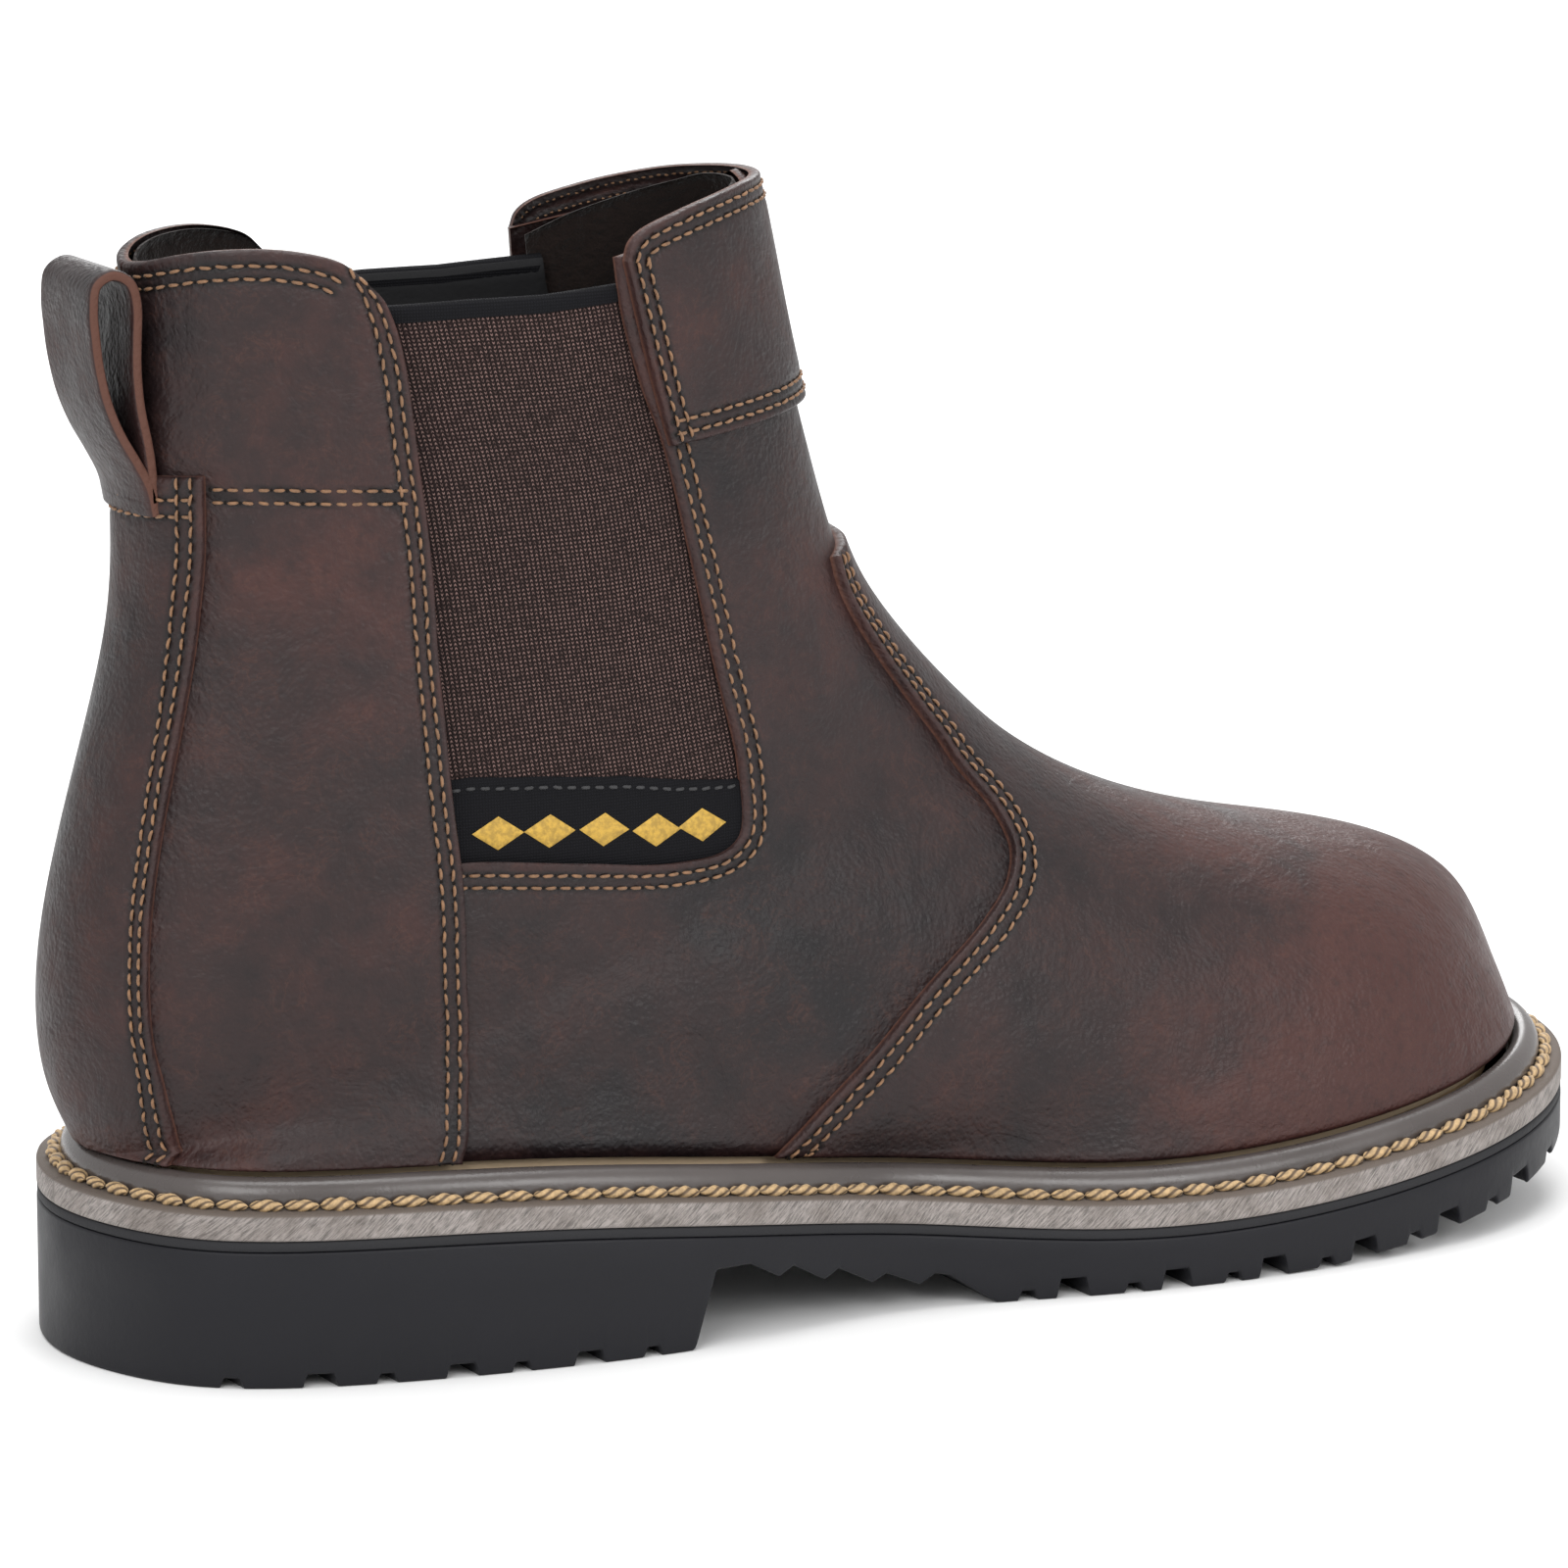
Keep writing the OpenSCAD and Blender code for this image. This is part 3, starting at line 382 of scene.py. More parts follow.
    def facing(self, places: Array) -> Array:
        """Outward unit normals at places of [s, t]."""
        return unit(self._sample(self.normals, places))

    def shift(self, curve: Array, distance: float) -> Array:
        """Moves a curve sideways on the face.

        Args: curve is k x 2 places; distance in millimetres is to the left of the curve seen from outside.
        Returns: the moved places.
        """
        step, small = self.shift_step
        p = self.at(curve)
        to_s = (self.at(curve + [step, 0]) - self.at(curve - [step, 0])) / (2 * step)
        to_t = (self.at(curve + [0, small]) - self.at(curve - [0, small])) / (2 * small)
        left = unit(np.cross(self.facing(curve), np.gradient(p, axis=0))) * distance
        aa, ab, bb = (to_s * to_s).sum(1), (to_s * to_t).sum(1), (to_t * to_t).sum(1)
        la, lb = (to_s * left).sum(1), (to_t * left).sum(1)
        aa, bb = aa + self.shift_damping, bb + self.shift_damping
        det = aa * bb - ab * ab
        return curve + np.stack([(la * bb - lb * ab) / det, (lb * aa - la * ab) / det], 1)


def spread(count: int, power: float) -> Array:
    """Places from -1 to 1 that crowd towards both ends, count on each half; more so with power above 1."""
    half = 1 - (1 - np.linspace(0, 1, count + 1)) ** power
    return np.concatenate([-half[:0:-1], half])


def crowd(count: int, power: float) -> Array:
    """Places from 0 to 1 that crowd towards both ends, as those of spread do."""
    return (spread(count, power) + 1) / 2


@dataclass(frozen=True)
class MeshData:
    """Points in millimetres, four-cornered faces and named point values."""

    points: Array
    faces: Array
    values: dict[str, Array] = field(default_factory=dict)

    def object(self, name: str) -> bpy.types.Object:
        """Makes the object.

        Args: name is the object's name.
        Returns: a smooth-shaded mesh object at the origin, in metres.
        """
        mesh = bpy.data.meshes.new(name)
        mesh.vertices.add(len(self.points))
        mesh.vertices.foreach_set("co", (self.points * MM).astype(np.float32).ravel())
        mesh.loops.add(self.faces.size)
        mesh.loops.foreach_set("vertex_index", self.faces.astype(np.int32).ravel())
        mesh.polygons.add(len(self.faces))
        mesh.polygons.foreach_set("loop_start", np.arange(0, self.faces.size, 4, dtype=np.int32))
        mesh.polygons.foreach_set("use_smooth", np.ones(len(self.faces), bool))
        for key, value in self.values.items():
            layer = mesh.attributes.new(key, "FLOAT", "POINT")
            layer.data.foreach_set("value", value.astype(np.float32).ravel())
        mesh.update(calc_edges=True)
        mesh.validate()
        obj = bpy.data.objects.new(name, mesh)
        bpy.context.scene.collection.objects.link(obj)
        return obj


def lattice_faces(rows: int, cols: int, loop_rows: bool = False, loop_cols: bool = False) -> Array:
    """Faces of a grid of points.

    Args: rows and cols are its counts, and each loop flag closes that direction on itself.
    Returns: n x 4 point numbers.
    """
    i = np.arange(rows if loop_rows else rows - 1)[:, None]
    j = np.arange(cols if loop_cols else cols - 1)[None]
    i1, j1 = (i + 1) % rows, (j + 1) % cols
    return np.stack([i * cols + j, i * cols + j1, i1 * cols + j1, i1 * cols + j], -1).reshape(-1, 4)


def copies(faces: Array, count: int) -> Array:
    """Faces of count copies of one grid whose points follow each other."""
    return (faces[None] + (np.arange(count) * (faces.max() + 1))[:, None, None]).reshape(-1, 4)


def fan(angles: Array, a: Array, b: Array) -> Array:
    """Directions round the cross-sections of many tubes.

    Args: angles is k long; a and b are n x 3 vectors at 0 and at a quarter turn.
    Returns: n x k x 3 directions.
    """
    return a[:, None] * np.cos(angles)[None, :, None] + b[:, None] * np.sin(angles)[None, :, None]


def near(points: Array, line: Array) -> Array:
    """Distance from points to a line of points.

    Args: points is n x 3, and line is k x 3.
    Returns: n distances.
    """
    blocks = [np.sqrt(((b[:, None] - line[None]) ** 2).sum(-1).min(1))
              for b in np.array_split(points, max(1, len(points) * len(line) // NEAR_BLOCK))]
    return np.concatenate(blocks)


@dataclass
class Panel:
    """Leather or textile panel on the upper: its outer face over a grid of places, with a rounded rim.

    The outer face lies at the layer's upper offset. It rounds off within edge_r of the rim, sinks by
    groove_depth along each seam row as exp(-(d / groove_w)^2), and the rim runs down to the lower offset.
    """

    name: str
    places: Array
    layer: tuple[float, float]
    keep: Array | None = None
    rows: list[Array] = field(default_factory=list)
    edge_r: float = 0.6
    groove_depth: float = 0.32
    groove_w: float = 0.95

    def data(self, form: BootForm) -> MeshData:
        """Works out the panel.

        Args: form is the boot's reference face.
        Returns: its mesh data, with the values rim (1 on the cut edge), edge and seam (distances in mm).
        """
        n_rows, n_cols = self.places.shape[:2]
        base = form.at(self.places).reshape(-1, 3)
        facing = form.facing(self.places).reshape(-1, 3)
        keep = np.ones((n_rows - 1, n_cols - 1), bool) if self.keep is None else self.keep
        cells = lattice_faces(n_rows, n_cols).reshape(n_rows - 1, n_cols - 1, 4)
        ringed = np.pad(keep, 1)
        sides = [(ringed[:-2, 1:-1], (1, 0)), (ringed[2:, 1:-1], (3, 2)),
                 (ringed[1:-1, :-2], (0, 3)), (ringed[1:-1, 2:], (2, 1))]
        edges = np.concatenate([cells[keep & ~beside][:, pair] for beside, pair in sides])
        rim = np.unique(edges)
        edge_d = near(base, base[rim])
        seam_d = near(base, np.concatenate([form.at(r) for r in self.rows])) if self.rows else edge_d + FAR
        bend = np.clip(edge_d / self.edge_r, 0, 1)
        fall = self.edge_r * (1 - np.sqrt(np.maximum(1 - (1 - bend) ** 2, 0)))
        sunk = self.groove_depth * np.exp(-(seam_d / self.groove_w) ** 2)
        outer = base + facing * (self.layer[1] - fall - sunk)[:, None]
        low = base[rim] + facing[rim] * self.layer[0]
        number = np.zeros(len(base), int)
        number[rim] = len(base) + np.arange(len(rim))
        walls = np.stack([edges[:, 0], edges[:, 1], number[edges[:, 1]], number[edges[:, 0]]], 1)
        faces = np.concatenate([cells[keep], walls])
        points = np.concatenate([outer, low])
        values = {"rim": np.concatenate([0 * edge_d, np.ones(len(rim))]),
                  "edge": np.concatenate([edge_d, edge_d[rim]]),
                  "seam": np.concatenate([seam_d, seam_d[rim] + FAR])}
        used = np.unique(faces)
        index = np.zeros(len(points), int)
        index[used] = np.arange(len(used))
        return MeshData(points[used], index[faces], {k: v[used] for k, v in values.items()})


@dataclass(frozen=True)
class Seams:
    """Edges of the panels as [s, t] knots on the lateral half of the upper, with t taken as positive."""

    vamp: tuple[tuple[float, float], ...] = (
        (6.06, 0.133), (6.8, 0.145), (8.6, 0.147), (11.0, 0.15), (13.3, 0.161), (15.2, 0.192), (16.6, 0.24),
        (17.6, 0.315), (18.1, 0.4), (18.3, 0.5), (18.4, 0.64), (18.55, 0.78), (18.63, 0.89), (18.7, 1.0))
    quarter: tuple[tuple[float, float], ...] = (
        (0.98, 0.655), (1.3, 0.635), (2.02, 0.622), (3.45, 0.618), (5.4, 0.613), (6.9, 0.6), (8.6, 0.592),
        (9.75, 0.594), (10.62, 0.6), (11.76, 0.61), (12.55, 0.619), (13.68, 0.643), (14.76, 0.692),
        (15.54, 0.752), (16.2, 0.822), (16.7, 0.89), (17.04, 0.948), (17.26, 1.0))
    gore: tuple[tuple[float, float], ...] = (
        (1.0, 0.382), (1.75, 0.382), (2.65, 0.372), (3.5, 0.358), (4.6, 0.353), (6.35, 0.346), (8.5, 0.35),
        (9.7, 0.359), (10.7, 0.369), (11.3, 0.381), (11.45, 0.4), (11.0, 0.43), (9.78, 0.5), (8.83, 0.588),
        (8.6, 0.66))
    rear_top: tuple[tuple[float, float], ...] = (
        (0.98, 0.655), (0.74, 0.68), (0.6, 0.72), (0.53, 0.77), (0.53, 0.83), (0.58, 0.89), (0.66, 0.95),
        (0.7, 1.0))
    front_top: tuple[tuple[float, float], ...] = (
        (0.42, 0.0), (0.42, 0.09), (0.44, 0.175), (0.52, 0.25), (0.61, 0.3), (0.73, 0.345), (0.88, 0.368),
        (1.1, 0.378))
    strap: tuple[tuple[float, float], ...] = (
        (3.02, 0.853), (3.9, 0.857), (4.8, 0.864), (6.3, 0.866), (7.7, 0.865), (9.1, 0.863), (10.03, 0.861),
        (10.95, 0.856), (12.23, 0.861), (13.38, 0.875), (14.3, 0.905), (14.8, 0.95), (15.17, 1.0))
    label_top: tuple[tuple[float, float], ...] = (
        (9.65, 0.357), (8.38, 0.462), (7.85, 0.527), (7.48, 0.587), (7.4, 0.62))
    band_floor: float = 3.5
    cross_seam: tuple[tuple[float, float], ...] = ((3.43, 0.632), (3.33, 0.7), (3.24, 0.77), (3.18, 0.85))


@dataclass
class SeamRow:
    """One row of stitches along a curve of places at a fixed distance from an edge."""

    curve: Array
    lift: float


@dataclass
class Upper:
    """All the panels of the upper and their seam rows, on both sides.

    Distances of the two rows from an edge are in millimetres, fields ending in _n and hidden_ count the
    points of curves, and those ending in _s, _t, _u and _w are places on the face or on a panel's grid.
    """

    form: BootForm
    seams: Seams = field(default_factory=Seams)
    distances: tuple[float, float] = (1.9, 4.2)
    top_margin: float = 1.0
    cross_gap: float = 2.3
    fine: int = 90
    edge_n: int = 900
    top_n: int = 400
    vamp_n: int = 1400
    hidden_gore: int = 45
    hidden_top: int = 24
    vamp_u: tuple[float, ...] = (
        0, 0.07, 0.19, 0.31, 0.4, 0.47, 0.53, 0.6, 0.66, 0.72, 0.78, 0.86, 0.93, 1.0)
    vamp_ridge: tuple[float, ...] = (5.85, 14.1)
    ridge_u: tuple[float, float] = (0.4, 0.84)
    shin_top: tuple[float, float] = (0.42, 1.05)
    floor_t: float = 0.66
    wing_w: float = 0.62
    lap_depth: float = 0.6
    pull_w: float = 0.3
    back_s: tuple[float, float] = (0.72, 12.0)
    strap_s: tuple[float, float] = (3.02, 12.2)
    strap_across: tuple[float, float, float] = (3.28, 0.2, 0.868)
    window_t: tuple[float, float] = (0.35, 0.62)
    lap_s: float = 0.5
    lap_t: float = 0.05
    outer: tuple[float, float] = (0.0, 2.1)
    strap_layer: tuple[float, float] = (1.9, 4.2)
    under: tuple[float, float] = (-1.8, 0.0)

    def curve(self, knots: Array, side: Side, count: int = 260) -> Array:
        """Smooth curve of count places on one side, from knots of [s, t] with t positive."""
        return smooth_curve(knots, count) * [1, side.value]

    def rows(self, curve: Array, sign: int, lift: float, margin: float = 0.0) -> list[SeamRow]:
        """The two seam rows beside an edge.

        Args: curve is the edge, sign is 1 for rows on its left, and margin moves them further in.
        Returns: one row for each distance.
        """
        return [SeamRow(self.form.shift(curve, (d + margin) * sign), lift) for d in self.distances]

    def beside(self, places: Array, lift: float) -> list[SeamRow]:
        """The two seam rows beside the first column of a grid, measured along the grid's own lines.

        Args: places is the grid, and lift is the rows' height.
        Returns: one row for each distance.
        """
        steps = np.linalg.norm(np.diff(self.form.at(places), axis=1), axis=2)
        run = np.pad(np.cumsum(steps, axis=1), ((0, 0), (1, 0)))
        line = np.arange(len(places))
        made = []
        for d in self.distances:
            k = (run[:, :-1] <= d).sum(1) - 1
            share = (d - run[line, k]) / (run[line, k + 1] - run[line, k])
            made.append(SeamRow(mix(places[line, k], places[line, k + 1], share[:, None]), lift))
        return made

    def vamp(self) -> tuple[Panel, list[SeamRow]]:
        """Vamp over the toes: a fan from its rear edge to the ridge and the line down the toe.

        Returns: the panel and its seam rows.
        """
        u = np.linspace(0, 1, 2 * self.fine + 60)
        v = spread(self.fine, 1.5)
        last = len(self.form.stations) - 1.0
        fine_edge = smooth_curve(self.seams.vamp, self.vamp_n)
        pick = np.interp(u, self.vamp_u, np.linspace(0, 1, len(self.seams.vamp)))
        edge = read(fine_edge, pick)
        ridge = np.stack([np.interp(u, [0, *self.ridge_u, 1], [*self.vamp_ridge, last, last]),
                          np.interp(u, [0, self.ridge_u[1], 1], [0, 0, 1])], 1)
        places = mix(ridge[:, None], edge[:, None], np.abs(v)[None, :, None])
        places[..., 1] *= np.where(v < 0, -1.0, 1.0)
        seam_rows = [r for side in Side for r in self.rows(
            fine_edge[::4] * [1, side.value], -side.value, self.outer[1])]
        return Panel("vamp", places, self.outer, rows=[r.curve for r in seam_rows]), seam_rows

    def front_quarter(self) -> tuple[Panel, list[SeamRow]]:
        """Front quarter: it covers the shin, leaves the gores' windows open and runs under its neighbours.

        Returns: the panel and its seam rows.
        """
        gore = smooth_curve(self.seams.gore, self.edge_n)
        corner = int(np.argmax(gore[:, 0]))
        side_part, floor_part = gore[:corner + 1], gore[corner:]
        upper = crowd(self.fine, 1.35)
        lower = crowd(self.fine // 2, 1.25)[1:]
        w = np.concatenate([np.linspace(0, 0.5, 61), 0.5 + 0.5 * crowd(30, 1.3)[1:]])
        deep = float(gore[corner, 0])
        top = np.interp(np.minimum(w / 0.5, 1), [0, 1], self.shin_top)
        front_t = np.interp(deep, side_part[:, 0], side_part[:, 1])
        floor_t = mix(front_t, self.floor_t, np.clip((w - 0.5) / 0.5, 0, 1))
        floor_s = np.where(w <= 0.5, deep, np.interp(floor_t, floor_part[:, 1], floor_part[:, 0]))
        s_up = mix(top[None], floor_s[None], upper[:, None])
        t_up = np.interp(s_up, side_part[:, 0], side_part[:, 1]) * (w / 0.5)[None]
        t_up = np.where(w[None] > 0.5, floor_t[None], t_up)
        vamp = smooth_curve(self.seams.vamp, self.edge_n)
        rear = smooth_curve(self.seams.quarter, self.edge_n)
        end_t = np.interp(w, [0, self.wing_w, 1], [0.0, 1.0, 1.0])
        end_s = np.maximum(np.interp(end_t, vamp[:, 1], vamp[:, 0]) + self.lap_s, deep + self.lap_depth)
        foot_s = float(rear[-1, 0]) - self.lap_s
        wing = (w - self.wing_w) / (1 - self.wing_w)
        end_s = np.where(w > self.wing_w, mix(end_s, foot_s, wing), end_s)
        low_start = np.stack([floor_s, t_up[-1]], -1)
        low_end = np.stack([end_s, end_t], -1)
        low = mix(low_start[None], low_end[None], lower[:, None, None])
        rear_s = mix(floor_s[-1], foot_s, lower)
        rear_t = np.minimum(np.interp(rear_s, rear[:, 0], rear[:, 1]) + self.lap_t, 1.0)
        chord = mix(low_start[-1], low_end[-1], lower[:, None])
        pull = np.stack([rear_s, rear_t], -1) - chord
        pull[-1] = 0.0
        share = np.clip((w - self.pull_w) / (1 - self.pull_w), 0, 1) ** 1.5
        low = low + pull[:, None] * share[None, :, None]
        half = np.concatenate([np.stack([s_up, t_up], -1), low])
        keep_half = np.ones((len(half) - 1, len(w) - 1), bool)
        keep_half[:len(upper) - 1, w[:-1] >= 0.5] = False
        places = np.concatenate([half[:, :0:-1] * [1, -1], half], 1)
        keep = np.concatenate([keep_half[:, ::-1], keep_half], 1)
        seam_rows = [r for side in Side for r in self.rows(
            self.curve(self.seams.gore, side)[self.hidden_gore:], -side.value, self.under[1])]
        curves = [r.curve for r in seam_rows]
        return Panel("front_quarter", places, self.under, keep=keep, rows=curves), seam_rows

    def collar_band(self) -> tuple[Panel, list[SeamRow]]:
        """Band round the front of the collar, over the front quarter.

        Returns: the panel and its seam rows.
        """
        top = smooth_curve(self.seams.front_top, self.top_n)
        gore = smooth_curve(self.seams.gore, self.edge_n)
        v = spread(self.fine, 1.3)
        u = crowd(45, 1.3)
        top_s, top_t = read(top, np.abs(v)).T
        low_t = np.abs(v) * np.interp(self.seams.band_floor, gore[:300, 0], gore[:300, 1])
        s = mix(top_s[None], self.seams.band_floor, u[:, None])
        t = mix(top_t[None], low_t[None], u[:, None]) * np.where(v < 0, -1.0, 1.0)[None]
        places = np.stack([s, t], -1)
        sides = (places[::-1, 0], places[:, -1], places[-1, 2:-2][::-1], places[0, 2:-2])
        seam_rows = [r for path in sides for r in self.rows(path, -1, self.outer[1])]
        return Panel("front_collar_band", places, self.outer, rows=[r.curve for r in seam_rows]), seam_rows

    def rear_quarter(self, side: Side) -> tuple[Panel, list[SeamRow]]:
        """Rear quarter of one side, from its front edge to the back seam.

        Args: side tells which side.
        Returns: the panel and its seam rows.
        """
        u = crowd(self.fine, 1.15)
        w = crowd(self.fine // 2, 1.25)
        left = read(smooth_curve(self.seams.quarter, self.edge_n), u)
        seam = np.stack([mix(*self.back_s, u), np.ones_like(u)], 1)
        places = mix(left[:, None], seam[:, None], w[None, :, None])
        top = smooth_curve(self.seams.rear_top, self.top_n)
        crest = read(top, w) - mix(top[:1], top[-1:], w[:, None])
        places = places + ((1 - u) ** 5)[:, None, None] * crest[None]
        places[..., 1] *= side.value
        seam_rows = self.beside(places, self.outer[1])
        if side is Side.LATERAL:
            places = places[:, ::-1]
        crest = self.curve(self.seams.rear_top, side)[self.hidden_top:]
        seam_rows += self.rows(crest, -side.value, self.outer[1], self.top_margin)
        cross = self.curve(self.seams.cross_seam, side)
        seam_rows += [SeamRow(c, self.outer[1]) for c in (cross, self.form.shift(cross, self.cross_gap))]
        name = f"rear_quarter_{side.name.lower()}"
        return Panel(name, places, self.outer, rows=[r.curve for r in seam_rows]), seam_rows

    def strap(self) -> tuple[Panel, list[SeamRow]]:
        """Strap that covers the back seam.

        Returns: the panel and its seam rows.
        """
        u = crowd(self.fine, 1.1)
        w = spread(28, 1.35)
        left = read(smooth_curve(self.seams.strap, self.edge_n), u)
        seam = np.stack([mix(*self.strap_s, u), np.ones_like(u)], 1)
        places = mix(seam[:, None], left[:, None], np.abs(w)[None, :, None])
        places[..., 1] = np.where(w[None] < 0, places[..., 1] - 2, -places[..., 1])
        lift = self.strap_layer[1]
        seam_rows = [row for grid in (places, places[:, ::-1]) for row in self.beside(grid, lift)]
        first_s, step_s, end_t = self.strap_across
        across = np.stack([np.full(60, first_s), np.linspace(-end_t, end_t - 2, 60)], 1)
        seam_rows += [SeamRow(across + [k * step_s, 0.0], lift) for k in (0, 1)]
        return Panel("back_strap", places, self.strap_layer, rows=[r.curve for r in seam_rows]), seam_rows

    def gore_places(self, side: Side, ends: tuple[Array, Array], margin: float,
                    size: tuple[int, int]) -> Array:
        """Places of a panel inside the gore's window.

        Args: ends are the top and the bottom as rows of t and of s; margin widens the panel in t.
        Returns: size x 2 places that run the same way round the boot on both sides.
        """
        gore = smooth_curve(self.seams.gore, self.edge_n)
        corner = int(np.argmax(gore[:, 0]))
        edge = smooth_curve(self.seams.quarter, self.edge_n)
        w = np.linspace(0, 1, size[1])
        top, bottom = (np.interp(mix(*self.window_t, w), *end)[None] for end in ends)
        s = mix(top, bottom, np.linspace(0, 1, size[0])[:, None])
        front = np.interp(s, gore[:corner, 0], gore[:corner, 1]) - margin
        rear = np.interp(s, edge[:, 0], edge[:, 1]) + margin
        places = np.stack([s, mix(front, rear, w[None]) * side.value], -1)
        return places[:, ::-1] if side is Side.LATERAL else places


@dataclass(frozen=True)
class Stitching:
    """Seam threads: short rounded stitches along each row, with a needle hole at every end.

    A stitch is a tube whose radius is thread_r * sqrt(1 - a^4) for a from -1 to 1 along it, and whose
    middle line rises by crown * (1 - a^2) from below the leather.
    """

    pitch: float = 2.8
    share: float = 0.8
    thread_r: float = 0.31
    crown: float = 0.40
    sunk: float = 0.34
    hole_r: float = 0.42
    steps: int = 7
    sides: int = 6
    wander: float = 0.09
    end_r: float = 0.0004
    hole_lift: float = 0.62
    hole_depth: float = 0.16
    hole_rings: tuple[float, ...] = (0.0, 0.6, 1.0)
    hole_narrow: float = 0.8
    seed: int = 7

    def lay(self, form: BootForm, rows: list[SeamRow]) -> tuple[Array, Array, Array]:
        """Middles and ends of the stitches.

        Args: form is the boot's reference face, and rows are all the rows.
        Returns: starts, ends and normals of the stitches, n x 3 each.
        """
        starts, ends, ups = [], [], []
        for row in rows:
            p = form.at(row.curve, row.lift - self.sunk)
            up = form.facing(row.curve)
            run = run_along(p)
            count = max(2, int(round(run[-1] / self.pitch)))
            d = np.arange(count) * run[-1] / count
            starts.append(read(p, d, run))
            ends.append(read(p, d + self.share * run[-1] / count, run))
            ups.append(unit(read(up, d, run)))
        return np.concatenate(starts), np.concatenate(ends), np.concatenate(ups)

    def threads(self, form: BootForm, rows: list[SeamRow]) -> MeshData:
        """All the stitches as one mesh.

        Args: form and rows as in lay.
        Returns: the mesh data.
        """
        a, b, up = self.lay(form, rows)
        rng = np.random.default_rng(self.seed)
        along = unit(b - a)
        side = unit(np.cross(along, up))
        swing = rng.normal(0, self.wander, (len(a), 1)) * side
        a, b = a - swing, b + swing
        x = np.linspace(-1, 1, self.steps)
        radius = self.thread_r * np.sqrt(np.maximum(1 - x**4, self.end_r))
        middle = mix(a[:, None], b[:, None], ((x + 1) / 2)[None, :, None])
        middle = middle + up[:, None] * (self.crown * (1 - x**2))[None, :, None]
        spoke = fan(np.arange(self.sides) * math.tau / self.sides, side, up)
        points = middle[:, :, None] + spoke[:, None] * radius[None, :, None, None]
        faces = lattice_faces(self.steps, self.sides, loop_cols=True)
        return MeshData(points.reshape(-1, 3), copies(faces, len(a)))

    def holes(self, form: BootForm, rows: list[SeamRow]) -> MeshData:
        """Needle holes between the stitches, as small dimples painted near-black for the shade inside them.

        Args: form and rows as in lay.
        Returns: the mesh data.
        """
        a, b, up = self.lay(form, rows)
        gap = (1 - self.share) / self.share
        middle = b + (b - a) * gap / 2 + up * (self.sunk * self.hole_lift)
        along = unit(b - a)
        side = unit(np.cross(along, up))
        ring = np.array(self.hole_rings)
        spoke = fan(np.arange(self.sides) * math.tau / self.sides, along * self.hole_narrow, side)
        points = middle[:, None, None] + spoke[:, None] * (ring * self.hole_r)[None, :, None, None]
        points = points - up[:, None, None] * (self.hole_depth * ring**2)[None, :, None, None]
        faces = lattice_faces(len(ring), self.sides, loop_cols=True)
        return MeshData(points.reshape(-1, 3), copies(faces, len(a)))


@dataclass(frozen=True)
class WeltThread:
    """Thick twisted thread of the welt: lens-shaped stitches of three plies.

    The radius of a stitch is half_w * (1 - a^2)^0.6 * (1 + ply * cos(3 * (phi - twist * a))).
    """

    count: int = 112
    inset: float = 3.2
    half_w: float = 1.25
    flat: float = 0.85
    share: float = 0.98
    ply: float = 0.16
    twist: float = 2.6
    steps: int = 17
    sides: int = 15
    lean: float = 0.5
    rest: float = 0.72
    vary: float = 0.06
    taper: float = 0.6
    end_r: float = 0.002
    seed: int = 3

    def data(self, sole: SoleShape) -> MeshData:
        """Works out the thread.

        Args: sole gives the edge that the thread follows.
        Returns: its mesh data.
        """
        rng = np.random.default_rng(self.seed)
        u = sole.even_turn(self.count)
        turn = len(sole.points)
        gap = np.diff(np.append(u, u[0] + turn))
        p, n = sole.edge(u)
        q, m = sole.edge(u + gap * self.share)
        lift = self.half_w * self.flat * self.rest

        def place(edge: Array, normal: Array, shift: float) -> Array:
            """Points above the welt, shift further in than the thread's own line."""
            flat = edge - normal * (self.inset + shift) - np.asarray(sole.centre)
            return np.concatenate([flat, (sole.top(edge[:, 0]) + lift)[:, None]], 1)

        a, b = place(p, n, self.lean * 0.5), place(q, m, -self.lean * 0.5)
        along = unit(b - a)
        side = unit(np.cross(along, np.array([0.0, 0.0, 1.0])))
        up = np.cross(side, along)
        x = np.linspace(-1, 1, self.steps)
        phi = np.arange(self.sides) * math.tau / self.sides
        size = 1 + rng.normal(0, self.vary, len(a))
        start = rng.uniform(0, math.tau, len(a))
        wave = np.cos(3 * (phi[None, None] - self.twist * x[None, :, None] + start[:, None, None]))
        taper = np.maximum(1 - x**2, self.end_r) ** self.taper
        radius = self.half_w * size[:, None, None] * taper[None, :, None]
        radius = radius * (1 + self.ply * wave)
        middle = mix(a[:, None], b[:, None], ((x + 1) / 2)[None, :, None])[:, :, None]
        points = (middle + side[:, None, None] * (np.cos(phi)[None, None] * radius)[..., None]
                  + up[:, None, None] * (np.sin(phi)[None, None] * radius * self.flat)[..., None])
        # groove is the ply wave; the thread's finish paints shade where it is low, between the plies
        values = {"groove": np.broadcast_to(wave, radius.shape).ravel().copy()}
        faces = lattice_faces(self.steps, self.sides, loop_cols=True)
        return MeshData(points.reshape(-1, 3), copies(faces, len(a)), values)


